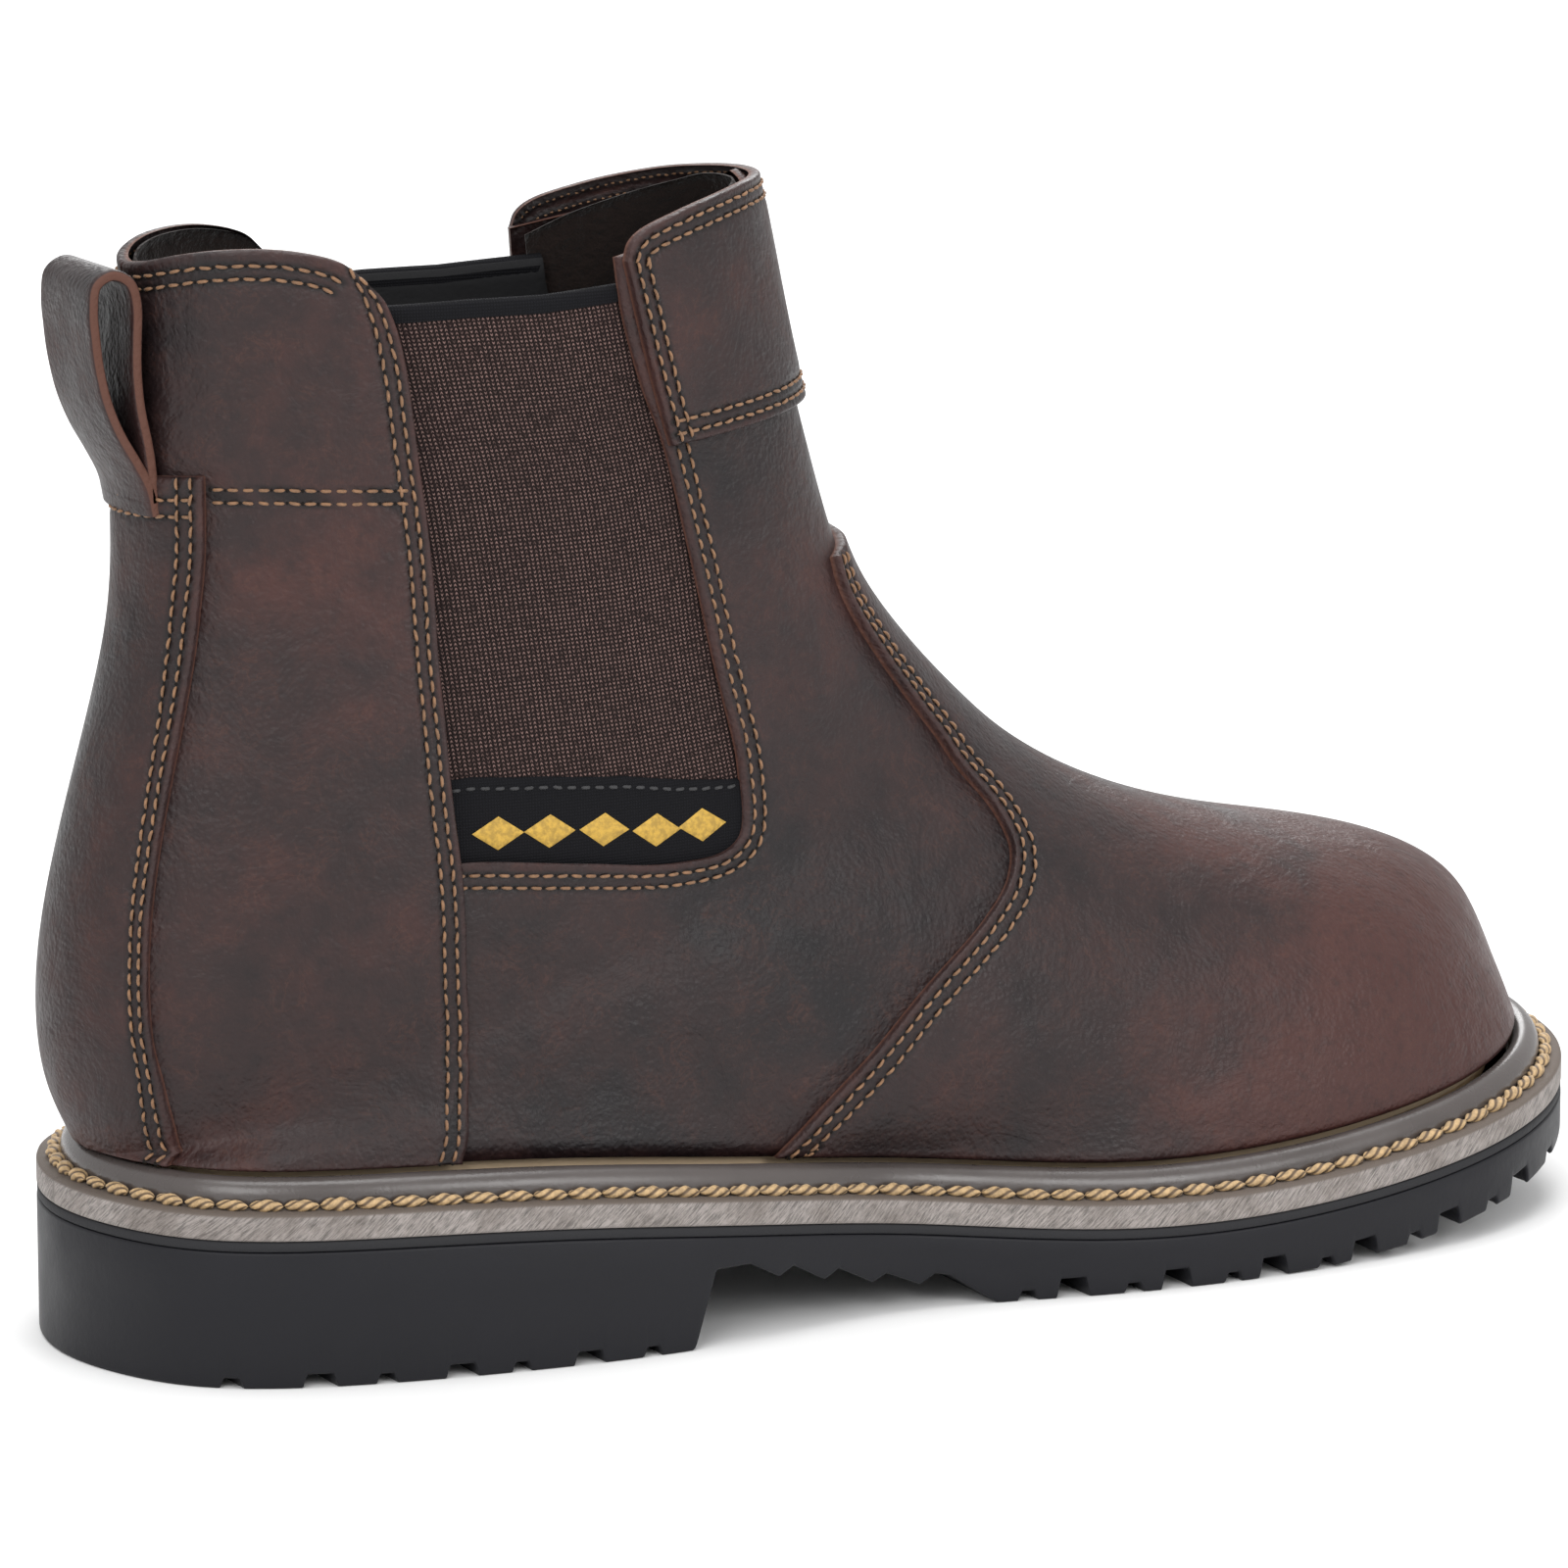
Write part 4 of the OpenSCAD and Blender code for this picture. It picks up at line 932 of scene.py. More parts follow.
@dataclass(frozen=True)
class SoleRings:
    """Rings of the bottom: storm bead, welt and slip layer, each a profile swept round the sole's edge."""

    count: int = 900
    bead: tuple[tuple[float, float], ...] = (
        (4.6, -0.1), (4.45, 0.6), (4.35, 1.5), (4.5, 2.5), (4.95, 3.5), (5.6, 4.25), (6.5, 4.8), (7.5, 4.95),
        (8.4, 4.75), (9.1, 4.2), (9.6, 3.2), (9.8, 0.5))
    welt: tuple[tuple[float, float], ...] = (
        (10.5, 0.0), (4.5, 0.0), (2.0, 0.02), (0.9, -0.02), (0.4, -0.12), (0.12, -0.35), (0.0, -0.7),
        (0.0, -1.6), (0.0, -2.5), (0.0, -3.4), (0.0, -4.3), (0.1, -4.7), (0.35, -4.9), (8.0, -4.9))
    slip: tuple[tuple[float, float], ...] = (
        (8.0, -5.0), (0.5, -5.0), (0.25, -5.1), (0.1, -5.3), (0.1, -6.5), (0.25, -6.75), (0.5, -6.85),
        (8.0, -6.9))

    def sweep(self, sole: SoleShape, profile: Array) -> MeshData:
        """Sweeps a profile round the sole.

        Args: profile is k x 2, distance inside the edge and height above the welt's top.
        Returns: its mesh data, with the values run (mm along the edge) and drop (mm below the welt's top).
        """
        profile = np.asarray(profile)
        points = sole.ring(profile[:, 0], profile[:, 1], self.count)
        closed = np.concatenate([points[:, 0], points[:1, 0]])
        run = run_along(closed)[:-1]
        values = {"run": np.repeat(run, len(profile)), "drop": np.tile(-profile[:, 1], self.count)}
        faces = lattice_faces(self.count, len(profile), loop_rows=True)[:, ::-1]
        return MeshData(points.reshape(-1, 3), faces, values)


@dataclass(frozen=True)
class Outsole:
    """Lugged rubber sole and heel as one unit, in millimetres from the heel's back.

    Its wall stands on the sole's edge: each step of it is a distance inside the edge, a share of the way
    down and a drop. The underside runs level across the boot at the height of the tread line, raised by
    every notch up to the notch's reach from the edge, and closes on the spine. A notch's size is its
    width, depth and reach.
    """

    count: int = 2600
    tread: tuple[tuple[float, float], ...] = (
        (-10, 0), (103.9, 0), (104.4, 0.5), (108.5, 13.8), (109.2, 14.2), (116, 14.2), (122.3, 10.9),
        (125.5, 12.4), (132.3, 8.7), (135.5, 10.2), (142.8, 6.5), (145.8, 7.7), (152.6, 4.8),
        (155.6, 6.5), (158.6, 5.9), (167.4, 0.1), (168.4, 0), (215, 0), (235, 0.4), (250, 1.8),
        (265, 3.8), (281, 6.6), (296, 10.4), (312, 15.4), (330, 21.5))
    small_notches: tuple[float, ...] = (
        20.7, 46.5, 70.9, 95.9, 173.2, 193.2, 213.2, 233.2, 253.2, 273.2, 293.2)
    wide_notches: tuple[float, ...] = (35.0, 60.0, 83.6)
    lug_gaps: tuple[float, ...] = (181.6, 201.6, 221.6, 241.6, 261.6, 281.6)
    small_size: tuple[float, float, float] = (3.0, 1.8, 11.0)
    wide_size: tuple[float, float, float] = (5.2, 2.4, 22.0)
    gap_size: tuple[float, float, float] = (5.4, 3.6, 22.0)
    wall_top: float = 6.9
    flank: float = 0.7
    edge_r: float = 0.7
    inner_steps: tuple[float, ...] = (3.0, 7.0, 10.6, 11.4, 16.0, 21.6, 22.4, 30.0, 60.0)
    wall: tuple[tuple[float, float, float], ...] = (
        (6, 0, 0), (0.5, 0, 0), (0.12, 0, 0.12), (0, 0, 0.5), (0, 0.35, 0), (0, 0.7, 0))
    spine: tuple[tuple[float, float], ...] = ((0, 0), (157, 2), (313, 12))

    def rise(self, x: Array, depth_in: Array) -> Array:
        """Height of the underside.

        Args: x is the distance from the heel, and depth_in the distance inside the edge.
        Returns: its height above the floor.
        """
        line = np.asarray(self.tread)
        z = np.interp(x, line[:, 0], line[:, 1])
        lift = np.zeros(np.broadcast(x, depth_in).shape)
        kinds = ((self.small_notches, self.small_size), (self.wide_notches, self.wide_size),
                 (self.lug_gaps, self.gap_size))
        for places, (width, depth, reach) in kinds:
            off = np.abs(x[..., None] - np.asarray(places)).min(-1)
            cut = depth * np.clip((width / 2 - off) / self.flank + 0.5, 0, 1)
            lift = np.maximum(lift, cut * (depth_in < reach))
        return z + lift

    def data(self, sole: SoleShape) -> MeshData:
        """Works out the outsole.

        Args: sole gives the outline and the welt's height.
        Returns: its mesh data.
        """
        p, normal = sole.edge(sole.even_turn(self.count))
        top = sole.top(p[:, 0]) - self.wall_top
        foot = self.rise(p[:, 0], np.zeros(len(p)))
        rows = []
        for inset, share, drop in self.wall:
            z = mix(top, foot + self.edge_r, share) - drop
            rows.append(np.concatenate([p - normal * inset, z[:, None]], 1))
        for turn in np.linspace(0, math.pi / 2, 5):
            inset, z = self.edge_r * (1 - math.cos(turn)), foot + self.edge_r * (1 - math.sin(turn))
            rows.append(np.concatenate([p - normal * inset, z[:, None]], 1))
        start = rows[-1]
        middle = np.interp(start[:, 0], *np.transpose(self.spine))
        for reach in self.inner_steps:
            y = start[:, 1] + np.sign(middle - start[:, 1]) * np.minimum(reach, np.abs(middle - start[:, 1]))
            z = self.rise(start[:, 0], np.full(len(y), reach))
            rows.append(np.stack([start[:, 0], y, z], 1))
        points = np.stack(rows, 1) - np.array([*sole.centre, 0.0])
        faces = lattice_faces(self.count, len(rows), loop_rows=True)[:, ::-1]
        return MeshData(points.reshape(-1, 3), faces)


@dataclass(frozen=True)
class PullLoop:
    """Leather strip that leaves the strap, turns over at the top and comes back to the shaft.

    A rounded rectangle is swept along its side view; towards the foot the strip wraps the back by
    y^2 / (2 * wrap_r).
    """

    path: tuple[tuple[float, float], ...] = (
        (16.9, 151.0), (15.9, 155.6), (13.7, 160.2), (11.2, 165.2), (9.5, 170.5), (8.6, 176), (8, 182),
        (7.6, 187.6), (8.4, 192.6), (12.2, 194.8), (16.2, 193), (17.7, 188.6), (17.6, 182), (17.3, 176),
        (17.3, 170), (17.9, 164), (18.2, 159.5), (18.4, 153.5))
    width: float = 23.0
    thick: float = 2.0
    round_r: float = 0.7
    wrap_r: float = 34.0
    foot_z: float = 156.0
    free_z: float = 182.0
    steps: int = 150
    across: int = 26
    round_steps: int = 4
    rim_w: float = 0.3

    def data(self, sole: SoleShape) -> MeshData:
        """Works out the loop.

        Args: sole gives the frame's place.
        Returns: its mesh data, with the values rim, edge and seam that the leather uses.
        """
        line = smooth_curve(self.path, self.steps)
        slope = unit(np.gradient(line, axis=0))
        inward = np.stack([slope[:, 1], -slope[:, 0]], 1)
        half = self.width / 2
        turn = np.linspace(0, math.pi / 2, self.round_steps)
        ease_y, ease_d = self.round_r * np.sin(turn), self.round_r * (1 - np.cos(turn))
        y_side = half - self.round_r + ease_y
        y_top = np.linspace(-half + self.round_r, half - self.round_r, self.across)
        y = np.concatenate([y_top, y_side[1:], y_side[::-1], y_top[::-1][1:], -y_side[1:],
                            -y_side[::-1][:-1]])
        low = self.thick
        d = np.concatenate([0 * y_top, ease_d[1:], low - ease_d[::-1], low + 0 * y_top[1:], low - ease_d[1:],
                            ease_d[::-1][:-1]])
        x = line[:, :1] + inward[:, :1] * d
        z = line[:, 1:] + inward[:, 1:] * d
        wrap = (y**2)[None] / (2 * self.wrap_r) * (1 - ease((z - self.foot_z) / (self.free_z - self.foot_z)))
        points = np.stack([x + wrap, np.broadcast_to(y, x.shape), z], -1) - np.array([*sole.centre, 0.0])
        edge = np.broadcast_to(half - np.abs(y), x.shape)
        values = {"rim": (edge < self.rim_w).astype(float).ravel(), "edge": edge.ravel(),
                  "seam": np.full(x.size, FAR)}
        return MeshData(points.reshape(-1, 3), lattice_faces(self.steps, len(y), loop_cols=True), values)


class Shader:
    """Builds a node material around one Principled shader."""

    def __init__(self, name: str) -> None:
        """Starts an empty material.

        Args: name is the material's name.
        """
        self.material = bpy.data.materials.new(name)
        self.material.use_nodes = True
        self.tree = self.material.node_tree
        self.tree.nodes.clear()
        self.out = self.tree.nodes.new("ShaderNodeOutputMaterial")
        self.main = self.tree.nodes.new("ShaderNodeBsdfPrincipled")
        self.tree.links.new(self.main.outputs[0], self.out.inputs[0])
        self.place = self.tree.nodes.new("ShaderNodeTexCoord").outputs["Object"]

    def link(self, source: object, target: bpy.types.NodeSocket) -> None:
        """Connects a socket, or sets a constant.

        Args: source is a socket or a value; target is the input that takes it.
        """
        if isinstance(source, bpy.types.NodeSocket):
            self.tree.links.new(source, target)
        else:
            target.default_value = (*source, 1.0) if target.type == "RGBA" else source

    def set(self, **inputs: object) -> None:
        """Sets inputs of the Principled shader.

        Args: inputs are its socket names, with underscores for blanks.
        """
        for key, value in inputs.items():
            self.link(value, self.main.inputs[key.replace("_", " ")])

    def math(self, operation: str, *values: object) -> bpy.types.NodeSocket:
        """Math node.

        Args: operation is its kind, and values are its inputs.
        Returns: its result.
        """
        node = self.tree.nodes.new("ShaderNodeMath")
        node.operation = operation
        for value, socket in zip(values, node.inputs):
            self.link(value, socket)
        return node.outputs[0]

    def times(self, a: object, b: object) -> bpy.types.NodeSocket:
        """Product of two values."""
        return self.math("MULTIPLY", a, b)

    def wave(self, operation: str, turns: object) -> bpy.types.NodeSocket:
        """Sine or cosine of turns in radians, brought to 0 to 1."""
        return self.math("MULTIPLY_ADD", self.math(operation, turns), 0.5, 0.5)

    def span(self, value: object, low: float, high: float, to_low: float = 0.0,
             to_high: float = 1.0) -> bpy.types.NodeSocket:
        """Maps a range onto another by a smooth step.

        Args: value goes from low to high; the result goes from to_low to to_high and is clamped.
        Returns: the result.
        """
        node = self.tree.nodes.new("ShaderNodeMapRange")
        node.interpolation_type = "SMOOTHSTEP"
        for number, socket in zip((value, low, high, to_low, to_high), node.inputs):
            self.link(number, socket)
        return node.outputs[0]

    def blend(self, share: object, a: object, b: object) -> bpy.types.NodeSocket:
        """Colour mix that goes from a to b as share goes from 0 to 1."""
        node = self.tree.nodes.new("ShaderNodeMix")
        node.data_type = "RGBA"
        self.link(share, node.inputs[0])
        self.link(a, node.inputs[6])
        self.link(b, node.inputs[7])
        return node.outputs[2]

    def noise(self, scale: float, detail: float = 4.0, rough: float = 0.55, vector: object = None,
              warp: float = 0.0) -> bpy.types.NodeSocket:
        """Noise texture.

        Args: scale is in periods per metre, and vector defaults to the object's own coordinates.
        Returns: its value.
        """
        node = self.tree.nodes.new("ShaderNodeTexNoise")
        self.link(vector or self.place, node.inputs["Vector"])
        for key, value in (("Scale", scale), ("Detail", detail), ("Roughness", rough), ("Distortion", warp)):
            node.inputs[key].default_value = value
        return node.outputs["Fac"]

    def cells(self, scale: float, feature: str) -> bpy.types.NodeSocket:
        """Distance value of a Voronoi texture of one kind, with scale in cells per metre."""
        node = self.tree.nodes.new("ShaderNodeTexVoronoi")
        node.feature = feature
        self.link(self.place, node.inputs["Vector"])
        node.inputs["Scale"].default_value = scale
        return node.outputs["Distance"]

    def value(self, name: str) -> bpy.types.NodeSocket:
        """Point value of the mesh by its name."""
        node = self.tree.nodes.new("ShaderNodeAttribute")
        node.attribute_name = name
        return node.outputs["Fac"]

    def axis(self, name: str) -> bpy.types.NodeSocket:
        """The object's coordinate X, Y or Z in metres."""
        node = self.tree.nodes.new("ShaderNodeSeparateXYZ")
        self.link(self.place, node.inputs[0])
        return node.outputs[name]

    def vector(self, x: object, y: object, z: object = 0.0) -> bpy.types.NodeSocket:
        """Vector of three values or sockets."""
        node = self.tree.nodes.new("ShaderNodeCombineXYZ")
        for value, socket in zip((x, y, z), node.inputs):
            self.link(value, socket)
        return node.outputs[0]

    def bump(self, *heights: tuple[object, float]) -> None:
        """Adds relief.

        Args: heights are pairs of a value from 0 to 1 and its height in millimetres.
        """
        normal = None
        for value, height in heights:
            node = self.tree.nodes.new("ShaderNodeBump")
            node.inputs["Distance"].default_value = height * MM
            self.link(value, node.inputs["Height"])
            if normal is not None:
                self.link(normal, node.inputs["Normal"])
            normal = node.outputs[0]
        self.link(normal, self.main.inputs["Normal"])


Colour = tuple[float, float, float]


def scaled(colour: Colour, factor: float) -> Colour:
    """Colour times a factor, at most 1 in each part."""
    return tuple(min(1.0, factor * part) for part in colour)


@dataclass(frozen=True)
class Finish(ABC):
    """A named material."""

    name: str

    @abstractmethod
    def paint(self, sh: Shader) -> None:
        """Paints the material's shader."""

    def build(self) -> bpy.types.Material:
        """Builds the material."""
        sh = Shader(self.name)
        self.paint(sh)
        return sh.material


@dataclass(frozen=True)
class LeatherFinish(Finish):
    """Oiled pull-up leather: dark centres, reddish burnish, fine grain, warm raw edges and painted seam
    shade.
    """

    dark: Colour
    body: Colour
    warm: Colour
    raw: Colour = (0.088, 0.036, 0.024)
    toe_warmth: float = 0.0
    roughness: float = 0.44

    def paint(self, sh: Shader) -> None:
        """Paints the material's shader."""
        cloud = sh.noise(17.0, 3.0, 0.55, warp=0.6)
        fleck = sh.noise(75.0, 7.0, 0.68)
        fibre = sh.noise(420.0, 5.0, 0.6)
        crease = sh.noise(60.0, 6.0, 0.62, warp=1.2)
        warmth = sh.math("ADD", sh.times(cloud, 0.72), sh.times(fleck, 0.38))
        if self.toe_warmth:
            toe = sh.span(sh.axis("X"), 0.03, 0.125, 0.0, self.toe_warmth)
            warmth = sh.math("ADD", warmth, toe)
        colour = sh.blend(sh.span(warmth, 0.38, 0.60), self.dark, self.body)
        colour = sh.blend(sh.span(warmth, 0.55, 0.78), colour, self.warm)
        colour = sh.blend(sh.span(fibre, 0.45, 0.75, 0.0, 0.35), colour, self.dark)
        veins = sh.math("ABSOLUTE", sh.math("SUBTRACT", sh.noise(210.0, 5.0, 0.6, warp=0.8), 0.5))
        worn = sh.times(sh.span(veins, 0.0, 0.03, 0.22, 0.0), sh.span(fleck, 0.42, 0.62))
        colour = sh.blend(worn, colour, self.raw)
        edge = sh.span(sh.value("edge"), 0.3, 2.6, 1.0, 0.0)
        rub = sh.times(edge, sh.span(fleck, 0.35, 0.65, 0.25, 0.8))
        colour = sh.blend(sh.times(rub, 0.5), colour, self.warm)
        # painted shade: the colour darkens towards the seam rows, where the panel sinks into its stitch
        # grooves
        seam = sh.span(sh.value("seam"), 0.25, 1.3, 0.8, 0.0)
        colour = sh.blend(seam, colour, scaled(self.dark, 0.35))
        colour = sh.blend(sh.span(sh.value("rim"), 0.25, 0.9), colour, self.raw)
        grain = sh.cells(1150.0, "SMOOTH_F1")
        pore = sh.noise(2100.0, 3.0, 0.6)
        rough = sh.math("ADD", sh.span(fleck, 0.3, 0.7, self.roughness - 0.07, self.roughness + 0.10),
                        sh.times(sh.value("rim"), 0.25))
        sh.set(Base_Color=colour, Roughness=rough, Specular_IOR_Level=0.30)
        sh.bump((crease, 1.1), (veins, 0.10), (grain, 0.18), (pore, 0.07))


@dataclass(frozen=True)
class PlainFinish(Finish):
    """Rubber, board, metal or cloth of one colour with fine relief and slight unevenness."""

    colour: Colour
    roughness: float = 0.6
    metallic: float = 0.0
    grain: float = 1500.0
    relief: float = 0.05
    uneven: float = 0.25
    sheen: float = 0.0
    gloss: float = 0.25

    def paint(self, sh: Shader) -> None:
        """Paints the material's shader."""
        patch = sh.noise(45.0, 5.0, 0.6)
        shade, light = scaled(self.colour, 1 - self.uneven), scaled(self.colour, 1 + self.uneven)
        sh.set(Base_Color=sh.blend(patch, shade, light), Metallic=self.metallic, Sheen_Weight=self.sheen,
               Specular_IOR_Level=self.gloss,
               Roughness=sh.span(patch, 0.3, 0.7, self.roughness - 0.06, self.roughness + 0.06))
        sh.bump((sh.noise(self.grain, 4.0, 0.6), self.relief), (sh.noise(170.0, 4.0, 0.6), self.relief * 2))


@dataclass(frozen=True)
class WebFinish(Finish):
    """Elastic web of the gore: fine ribs up the shaft, crossed by short slanted dashes of lighter yarn."""

    ground: Colour
    yarn: Colour
    rib: float = 0.92
    row: float = 0.74
    lean: float = 2.6
    relief: float = 0.22

    def paint(self, sh: Shader) -> None:
        """Paints the material's shader."""
        u, v = sh.value("across"), sh.value("down")
        rib = sh.wave("COSINE", sh.times(u, math.tau / self.rib))
        pair = sh.math("FRACT", sh.times(u, 0.5 / self.rib))
        lean = sh.math("ABSOLUTE", sh.math("SUBTRACT", pair, 0.5))
        slope = sh.math("MULTIPLY_ADD", lean, self.lean, sh.times(v, 1.0 / self.row))
        dash = sh.wave("SINE", sh.times(slope, math.tau))
        break_up = sh.noise(1300.0, 3.0, 0.6)
        mask = sh.times(sh.span(dash, 0.38, 0.78), sh.span(rib, 0.25, 0.75))
        mask = sh.times(mask, sh.span(break_up, 0.36, 0.55, 0.25, 1.0))
        wash = sh.noise(30.0, 3.0, 0.5)
        yarn = sh.blend(wash, scaled(self.yarn, 0.75), self.yarn)
        sh.set(Base_Color=sh.blend(mask, self.ground, yarn), Roughness=0.85, Specular_IOR_Level=0.15)
        height = sh.math("MULTIPLY_ADD", rib, 0.6, sh.times(dash, 0.4))
        sh.bump((height, self.relief), (break_up, 0.05))


@dataclass(frozen=True)
class WeaveFinish(Finish):
    """Close black weave of bindings and labels, with ribs along the object's X and Z and painted highlights.
    """

    colour: Colour
    pitch: float = 0.55

    def paint(self, sh: Shader) -> None:
        """Paints the material's shader."""
        turns = math.tau / (self.pitch * MM)
        warp, weft = (sh.wave("SINE", sh.times(sh.axis(name), turns)) for name in "XZ")
        knit = sh.times(warp, weft)
        # painted highlight: the colour lightens up to 2.3 times where the knit relief peaks, on the crowns of
        # the weave
        sh.set(Base_Color=sh.blend(knit, self.colour, scaled(self.colour, 2.3)), Roughness=0.85,
               Specular_IOR_Level=0.15)
        sh.bump((knit, 0.12), (sh.noise(900.0, 4.0, 0.6), 0.04))


@dataclass(frozen=True)
class WeltFinish(Finish):
    """Ground edge of the welt: grey-brown with slanting brush marks, and a browner top."""

    edge: Colour
    top: Colour

    def paint(self, sh: Shader) -> None:
        """Paints the material's shader."""
        run, drop = sh.value("run"), sh.value("drop")
        slant = sh.vector(sh.math("MULTIPLY_ADD", drop, 0.9, run), sh.times(drop, 0.16), 0.0)
        marks = sh.noise(2.6, 6.0, 0.75, vector=slant)
        patch = sh.noise(90.0, 5.0, 0.65)
        colour = sh.blend(sh.span(marks, 0.36, 0.60), scaled(self.edge, 0.30), self.edge)
        colour = sh.blend(sh.span(patch, 0.4, 0.7, 0.0, 0.45), colour, self.top)
        colour = sh.blend(sh.span(drop, 0.25, 0.8), self.top, colour)
        sh.set(Base_Color=colour, Roughness=0.72)
        sh.bump((marks, 0.22), (sh.noise(1400.0, 4.0, 0.6), 0.05))


@dataclass(frozen=True)
class ThreadFinish(Finish):
    """Waxed thread, lighter on the crowns of its plies, with painted shade in the grooves between them."""

    colour: Colour
    # colour of the painted shade in the grooves between the plies
    deep: Colour
    plied: bool = False

    def paint(self, sh: Shader) -> None:
        """Paints the material's shader."""
        fleck = sh.noise(900.0, 4.0, 0.65)
        colour = sh.blend(sh.span(fleck, 0.35, 0.65), scaled(self.colour, 0.62), self.colour)
        # painted shade: the deep colour darkens the grooves between the plies, where the ply wave is low
        if self.plied:
            colour = sh.blend(sh.span(sh.value("groove"), -0.9, 0.1), self.deep, colour)
        sh.set(Base_Color=colour, Roughness=0.58, Sheen_Weight=0.1)
        sh.bump((sh.noise(3200.0, 3.0, 0.6), 0.08))


class Finishes:
    """Every material of the boot by its slot."""

    def __init__(self) -> None:
        """Builds the materials."""
        brown = {"dark": (0.0080, 0.0064, 0.0072), "body": (0.0225, 0.0118, 0.0115),
                 "warm": (0.050, 0.0185, 0.0155)}
        plain = [
            PlainFinish("outsole_rubber", (0.0070, 0.0070, 0.0095), 0.48, relief=0.05, grain=900.0),
            PlainFinish("slip_rubber", (0.018, 0.018, 0.020), 0.7, relief=0.14, grain=1100.0),
            PlainFinish("bead_leather", (0.060, 0.050, 0.047), 0.30, relief=0.04, gloss=0.65),
            PlainFinish("cork", (0.45, 0.30, 0.17), 0.9, relief=0.3, grain=400.0),
            PlainFinish("shank_steel", (0.60, 0.62, 0.64), 0.35, 1.0),
            PlainFinish("board", (0.50, 0.38, 0.25), 0.85),
            PlainFinish("footbed_fabric", (0.030, 0.028, 0.026), 0.95, relief=0.2, sheen=0.2),
            PlainFinish("cap_steel", (0.55, 0.57, 0.60), 0.4, 1.0),
            PlainFinish("strip_rubber", (0.030, 0.030, 0.030), 0.7),
            PlainFinish("counter_board", (0.45, 0.34, 0.24), 0.9),
            PlainFinish("lining", (0.0135, 0.009, 0.0078), 0.95, relief=0.9, grain=420.0, uneven=0.7,
                        sheen=0.12, gloss=0.1),
            # painted shade: near-black colour of the needle-hole dimples, standing in for the shade inside
            # each hole
            PlainFinish("needle_hole_shade", (0.006, 0.004, 0.003), 0.9),
            PlainFinish("gore_backing", (0.012, 0.012, 0.013), 0.85, relief=0.15, grain=900.0),
        ]
        self.by_slot = {f.name: f.build() for f in [
            LeatherFinish("vamp_leather", **brown, toe_warmth=0.34),
            LeatherFinish("quarter_leather", **brown),
            WebFinish("gore_web", (0.010, 0.0056, 0.0052), (0.20, 0.125, 0.112)),
            WeaveFinish("black_weave", (0.0035, 0.0035, 0.0045)),
            WeltFinish("welt_edge", (0.33, 0.295, 0.275), (0.100, 0.078, 0.064)),
            # the welt thread's second colour is the painted shade of its ply grooves
            ThreadFinish("welt_thread", (0.50, 0.335, 0.165), (0.085, 0.05, 0.024), plied=True),
            ThreadFinish("seam_thread", (0.23, 0.115, 0.052), (0.1, 0.05, 0.03)),
            ThreadFinish("black_thread", (0.02, 0.02, 0.022), (0.01, 0.01, 0.01)),
            ThreadFinish("gold_thread", (0.50, 0.30, 0.035), (0.3, 0.16, 0.02)),
            *plain,
        ]}

    def dress(self, obj: bpy.types.Object, finish: str, slot: str | None = None) -> None:
        """Gives an object a finish by name; slot is not used."""
        obj.data.materials.clear()
        obj.data.materials.append(self.by_slot[finish])


